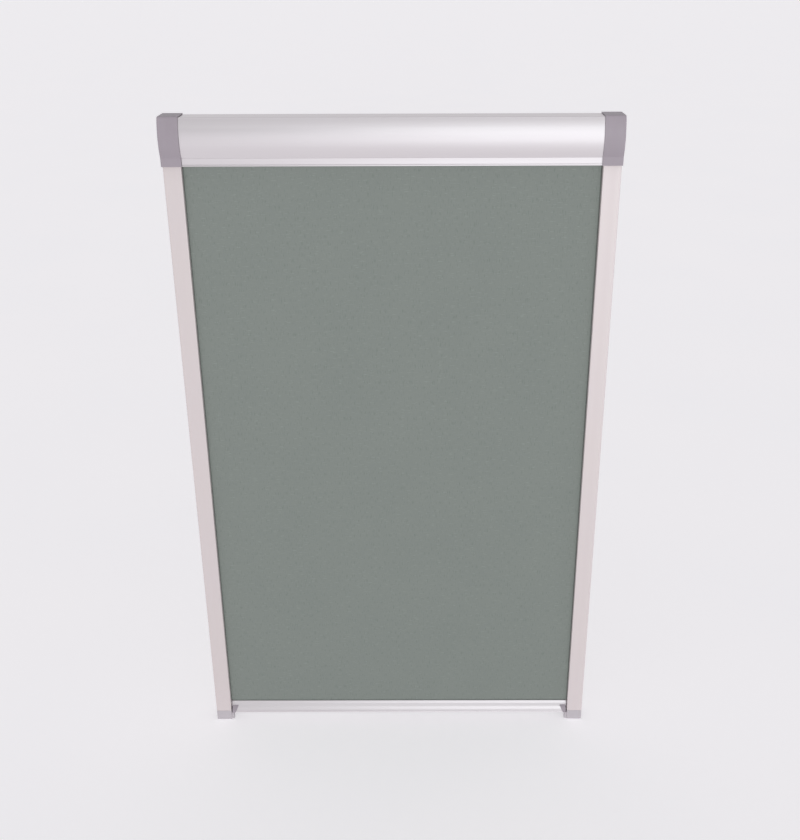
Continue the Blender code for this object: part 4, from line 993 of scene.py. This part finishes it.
def cut_at(loop, y):
    """A closed outline cut by a line of constant y: its rear run and its front run, with both crossings."""
    ahead = np.roll(loop, -1, 0)
    crossing = np.flatnonzero((loop[:, 0] - y) * (ahead[:, 0] - y) < 0)
    share = ((y - loop[:, 0]) / np.where(ahead[:, 0] == loop[:, 0], 1, ahead[:, 0] - loop[:, 0]))[crossing]
    met = loop[crossing] + share[:, None] * (ahead - loop)[crossing]
    whole = np.insert(loop, crossing + 1, met, axis=0)
    first, second = crossing[0] + 1, crossing[1] + 2
    runs = [whole[first : second + 1], np.vstack([whole[second:], whole[: first + 1]])]
    return (*sorted(runs, key=lambda run: -run[:, 0].mean()), whole)


opening = math.asin(CLAMP_SLIT / CLAMP_RADIUS)
round_clamp = np.linspace(math.pi / 2 - opening, -1.5 * math.pi + opening, 29)
clamp = (CLOTH_Y, CLAMP_HEIGHT) + CLAMP_RADIUS * np.column_stack([np.cos(round_clamp), np.sin(round_clamp)])
seal_groove = [
    (-0.0266, BAR_UNDERSIDE), (-0.0262, 0.0156), (-0.0215, 0.0156), (-0.0211, BAR_UNDERSIDE),
    (-0.0185, BAR_UNDERSIDE), (-0.0185, SEAL_LIP), (-0.0197, SEAL_LIP), (-0.0197, 0.0162), (-0.0143, 0.0162),
    (-0.0143, SEAL_LIP), (-0.0155, SEAL_LIP), (-0.0155, BAR_UNDERSIDE),
]
bar_line = [
    [(BAR_REAR, BAR_UNDERSIDE), (BAR_REAR, BAR_TOP), (CLOTH_Y + CLAMP_SLIT, BAR_TOP)],
    clamp,
    [(CLOTH_Y - CLAMP_SLIT, BAR_TOP), (-0.0188, BAR_TOP), (-0.0200, 0.0290)],
    GRIP[:6],
    GRIP_GROOVE,
    GRIP[6:],
    seal_groove,
]
hollow_line = [
    (BAR_INNER_REAR, BAR_FLOOR), (BAR_INNER_REAR, BAR_CEILING), (-0.0200, BAR_CEILING), (-0.0212, 0.0252),
    (-0.0236, 0.0234), (-0.0252, 0.0214), (-0.0260, 0.0196), (-0.0260, BAR_FLOOR),
]
rear_run, front_run, bar_outline = cut_at(eased(above_sole(np.vstack(bar_line)), 0.00025), GRIP_CUT)
rear_hollow, front_hollow, bar_hollow = cut_at(eased(above_sole(hollow_line), 0.0003), GRIP_CUT)
stub = np.vstack([rear_run, rear_hollow[::-1]])
nose = np.vstack([front_run, front_hollow[::-1]])
bar_skins = []
for line, place in ((bar_outline, BAR_REAR), (bar_hollow, BAR_INNER_REAR)):
    holed = side_near(line, (place, SOLE_Z + 0.0200))
    holes = [((place, SLIDER_SCREW_Z), side * SLIDER_SCREW_X) for side, _ in SIDES]
    bar_skins.append(walls(line, -GRIP_END, GRIP_END, "X", [holed]))
    bar_skins.append(pierced_side(line, holed, -GRIP_END, GRIP_END, "X", holes, SLIDER_HOLE_RADIUS))
for side, _ in SIDES:
    hole = ring((side * SLIDER_SCREW_X, SLIDER_SCREW_Z), SLIDER_HOLE_RADIUS)
    bar_skins.append(walls(hole, BAR_INNER_REAR, BAR_REAR, "Y"))
    bar_skins.append(walls(stub, side * GRIP_END, side * BAR_END, "X"))
    bar_skins.append(flat([stub], square_to("X", side * BAR_END)))
    bar_skins.append(flat([nose], square_to("X", side * GRIP_END)))
bar_mesh = make_mesh("bar_extrusion", bar_skins, 20.0)
add_piece(bar_mesh, "bar", aluminium_bar, "satin_aluminium", "bar_profile")
seal_root = above_sole([(-0.0170, BAR_UNDERSIDE)])[0]
seal = pile_skins(seal_root, (0, -1), (1, 0), (0.0024, 0.0011, 0.0057), -0.2770, 0.2770, "X", 9)
add_pile("bar_pile_seal", "bar_bottom_seal", "bar", seal)
refinish(grey_abs, "bar_slider_left", "bar_slider_right")
for side, name in SIDES:
    head = (side * SLIDER_SCREW_X, BAR_REAR + CLEAR, SLIDER_SCREW_Z)
    add_screw(f"slider_screw_turned_{name}", f"slider_screw_{name}", "bar", head, (0, -1, 0), SLIDER_SCREW)


# PULL BAR CAPS
# Grey ABS mouldings that finish the grip's ends. Each is a shell 0.5 mm thick with a slanted inner edge, an
# end wall, and a plug that is pressed into the bar's hollow.
BAR_CAP_OUT = 0.2806
BAR_CAP_WALL_X = 0.2791
BAR_CAP_REAR = -0.0233
BAR_CAP_PROUD = 0.0008
BAR_CAP_SHELL = 0.0005
BAR_CAP_EDGE = 0.00035
PLUG_ENDS = (0.2735, 0.2800)
PLUG_LINE = [(-0.0255, 0.0174), (-0.0255, 0.0196), (-0.0205, 0.0196), (-0.0205, 0.0174)]
bar_cap_front = above_sole([(BAR_CAP_REAR, 0.02548), *GRIP[2:], (BAR_CAP_REAR, BAR_UNDERSIDE)])
bar_cap_line = eased(bar_cap_front, 0.0015, closed=False)


def bar_cap_path(inset):
    """The cap's front in section: the grip's line moved out by 0.8 mm less the inset, cut at the rear."""
    step = np.diff(bar_cap_line, axis=0)
    step /= np.linalg.norm(step, axis=1)[:, None]
    right = np.column_stack([step[:, 1], -step[:, 0]])
    both = np.vstack([right[:1], right[1:] + right[:-1], right[-1:]])
    both /= np.linalg.norm(both, axis=1)[:, None]
    cosine = (both[:-1] * right).sum(1)
    line = bar_cap_line + (BAR_CAP_PROUD - inset) * both / np.append(cosine, 1.0)[:, None]
    for end, beside in ((0, 1), (-1, -2)):
        run = line[beside] - line[end]
        line[end] += run * (BAR_CAP_REAR - line[end, 0]) / run[0]
    return line


def bar_cap(side):
    """The cap's skins. The inner edge is slanted: x = 278.5 mm - (h - 10 mm) / 2, with h above the soles."""
    a = np.linspace(0, math.pi / 2, 5)
    turned_in, gone_out = BAR_CAP_EDGE * (1 - np.cos(a)), BAR_CAP_OUT - BAR_CAP_EDGE * (1 - np.sin(a))
    slant = 0.2785 - (bar_cap_line[:, 1] - SOLE_Z - 0.0100) / 2
    places = [side * x for x in (slant, slant + 0.00015, 0.2788, *gone_out)]
    outside = mantle(bar_cap_path, [0.00012, 0, 0, *turned_in], places)
    lining = mantle(bar_cap_path, [BAR_CAP_SHELL, BAR_CAP_SHELL], [side * slant, side * BAR_CAP_WALL_X])
    rear = np.vstack([outside[0], outside[-1][::-1], lining[-1], lining[0][::-1]])[:, [0, 2]]
    plug = eased(above_sole(PLUG_LINE), 0.0003)
    return [
        skin(outside),
        skin(lining),
        skin(np.stack([outside[:, 0], lining[:, 0]], axis=1)),
        flat([outside[:, -1, 1:]], square_to("X", side * BAR_CAP_OUT)),
        flat([lining[:, -1, 1:]], square_to("X", side * BAR_CAP_WALL_X)),
        flat([rear], square_to("Y", BAR_CAP_REAR)),
        *extrusion(plug, [], side * PLUG_ENDS[0], side * PLUG_ENDS[1], "X"),
    ]


for side, name in SIDES:
    cap_mesh = make_mesh(f"bar_cap_moulding_{name}", bar_cap(side), 28.0)
    add_piece(cap_mesh, "bar", grey_abs, "grey_cap_plastic", f"bar_cap_{name}")


# STUDIO
# A pale floor under the soles, soft even light from all round, and a broad soft sun in front for the matte
# surfaces. Two panels, in front and above, show only in shiny surfaces, and put the soft stripe on the
# cassette's crown. The camera looks down a little.
FLOOR_HALF = 60.0
SUN_SPREAD = math.radians(14)
PANEL_COLOUR = (0.93, 1.0, 1.01)
scene = bpy.context.scene
scene.view_settings.view_transform = "Standard"


def strength_for(tree, only_lighting, seen, mirrored):
    """A strength for rays that only light, for the camera's own rays and for those from a shiny surface."""
    path = add_node(tree, "ShaderNodeLightPath").node.outputs
    seen_here = add_node(tree, "ShaderNodeMapRange", {0: path["Is Camera Ray"], 3: only_lighting, 4: seen})
    rays = {0: path["Is Glossy Ray"], 1: path["Is Transmission Ray"]}
    shiny = add_node(tree, "ShaderNodeMath", rays, operation="MAXIMUM")
    return add_node(tree, "ShaderNodeMapRange", {0: shiny, 3: seen_here, 4: mirrored})


def studio_floor():
    """A square matte floor 120 m wide at the soles' height, with a glow where it is seen or mirrored."""
    mesh = bpy.data.meshes.new("studio_floor")
    corners = [(x * FLOOR_HALF, y * FLOOR_HALF, SOLE_Z) for x, y in ((-1, -1), (1, -1), (1, 1), (-1, 1))]
    mesh.from_pydata(corners, [], [(0, 1, 2, 3)])
    floor = bpy.data.objects.new("studio_floor", mesh)
    scene.collection.objects.link(floor)
    material, tree, place = new_material("matte_pale_floor", Roughness=0.9, Specular_IOR_Level=0.1)
    cloud = add_node(tree, "ShaderNodeTexNoise", {0: place, "Scale": 2.0})
    tones = {0: cloud, 6: linear("#f0eff2"), 7: linear("#f3f1f3")}
    colour = add_node(tree, "ShaderNodeMix", tones, 2, data_type="RGBA")
    glow = strength_for(tree, 0.0, 0.48, 0.73)
    for value, socket in ((colour, "Base Color"), (colour, "Emission Color"), (glow, "Emission Strength")):
        tree.links.new(value, tree.nodes["Principled BSDF"].inputs[socket])
    mesh.materials.append(material)


def lamp(name, kind, place, target, power, mirrored, **settings):
    """A lamp at a place, turned to a target. It shows in shiny surfaces, or else it lights matte ones."""
    light = bpy.data.lights.new(name, kind)
    light.energy = power
    for setting, value in settings.items():
        setattr(light, setting, value)
    holder = bpy.data.objects.new(name, light)
    holder.location = place
    holder.rotation_euler = (Vector(target) - Vector(place)).to_track_quat("-Z", "Y").to_euler()
    holder.visible_glossy = mirrored
    holder.visible_diffuse = not mirrored
    scene.collection.objects.link(holder)


def surroundings():
    """A pale surround, near strength 1 where it is seen or mirrored and weaker where it only lights."""
    world = bpy.data.worlds.new("pale_surround")
    world.use_nodes = True
    scene.world = world
    background = world.node_tree.nodes["Background"]
    background.inputs["Color"].default_value = linear("#faf9fb")
    world.node_tree.links.new(strength_for(world.node_tree, 0.44, 0.95, 0.86), background.inputs["Strength"])


studio_floor()
surroundings()
lamp("front_sun", "SUN", (0.1, -3.0, -0.12), (0, 0, -0.3), 1.84, False, angle=SUN_SPREAD)
panel = {"shape": "RECTANGLE", "color": PANEL_COLOUR}
lamp("front_panel", "AREA", (0.90, -2.2, 0.22), (0.90, 0, 0.22), 10.7, True, size=2.25, size_y=1.66, **panel)
lamp("top_panel", "AREA", (0.5, -1.4, 2.3), (0.5, -1.4, 0), 5.8, True, size=2.4, size_y=1.6, **panel)

# The camera is panned and rolled by a fifth of a degree, and tilted down by 23.7 degrees.
eye = bpy.data.cameras.new("camera")
eye.lens = 44.785
eye.shift_x = -0.0204
camera = bpy.data.objects.new("camera", eye)
aim = Matrix.Identity(4)
for degrees, axis in ((0.197, "Z"), (-23.720, "X"), (0.210, "Y"), (90.0, "X")):
    aim = aim @ Matrix.Rotation(math.radians(degrees), 4, axis)
camera.matrix_world = Matrix.Translation((0.03716, -1.44440, 0.22026)) @ aim
scene.collection.objects.link(camera)
scene.camera = camera
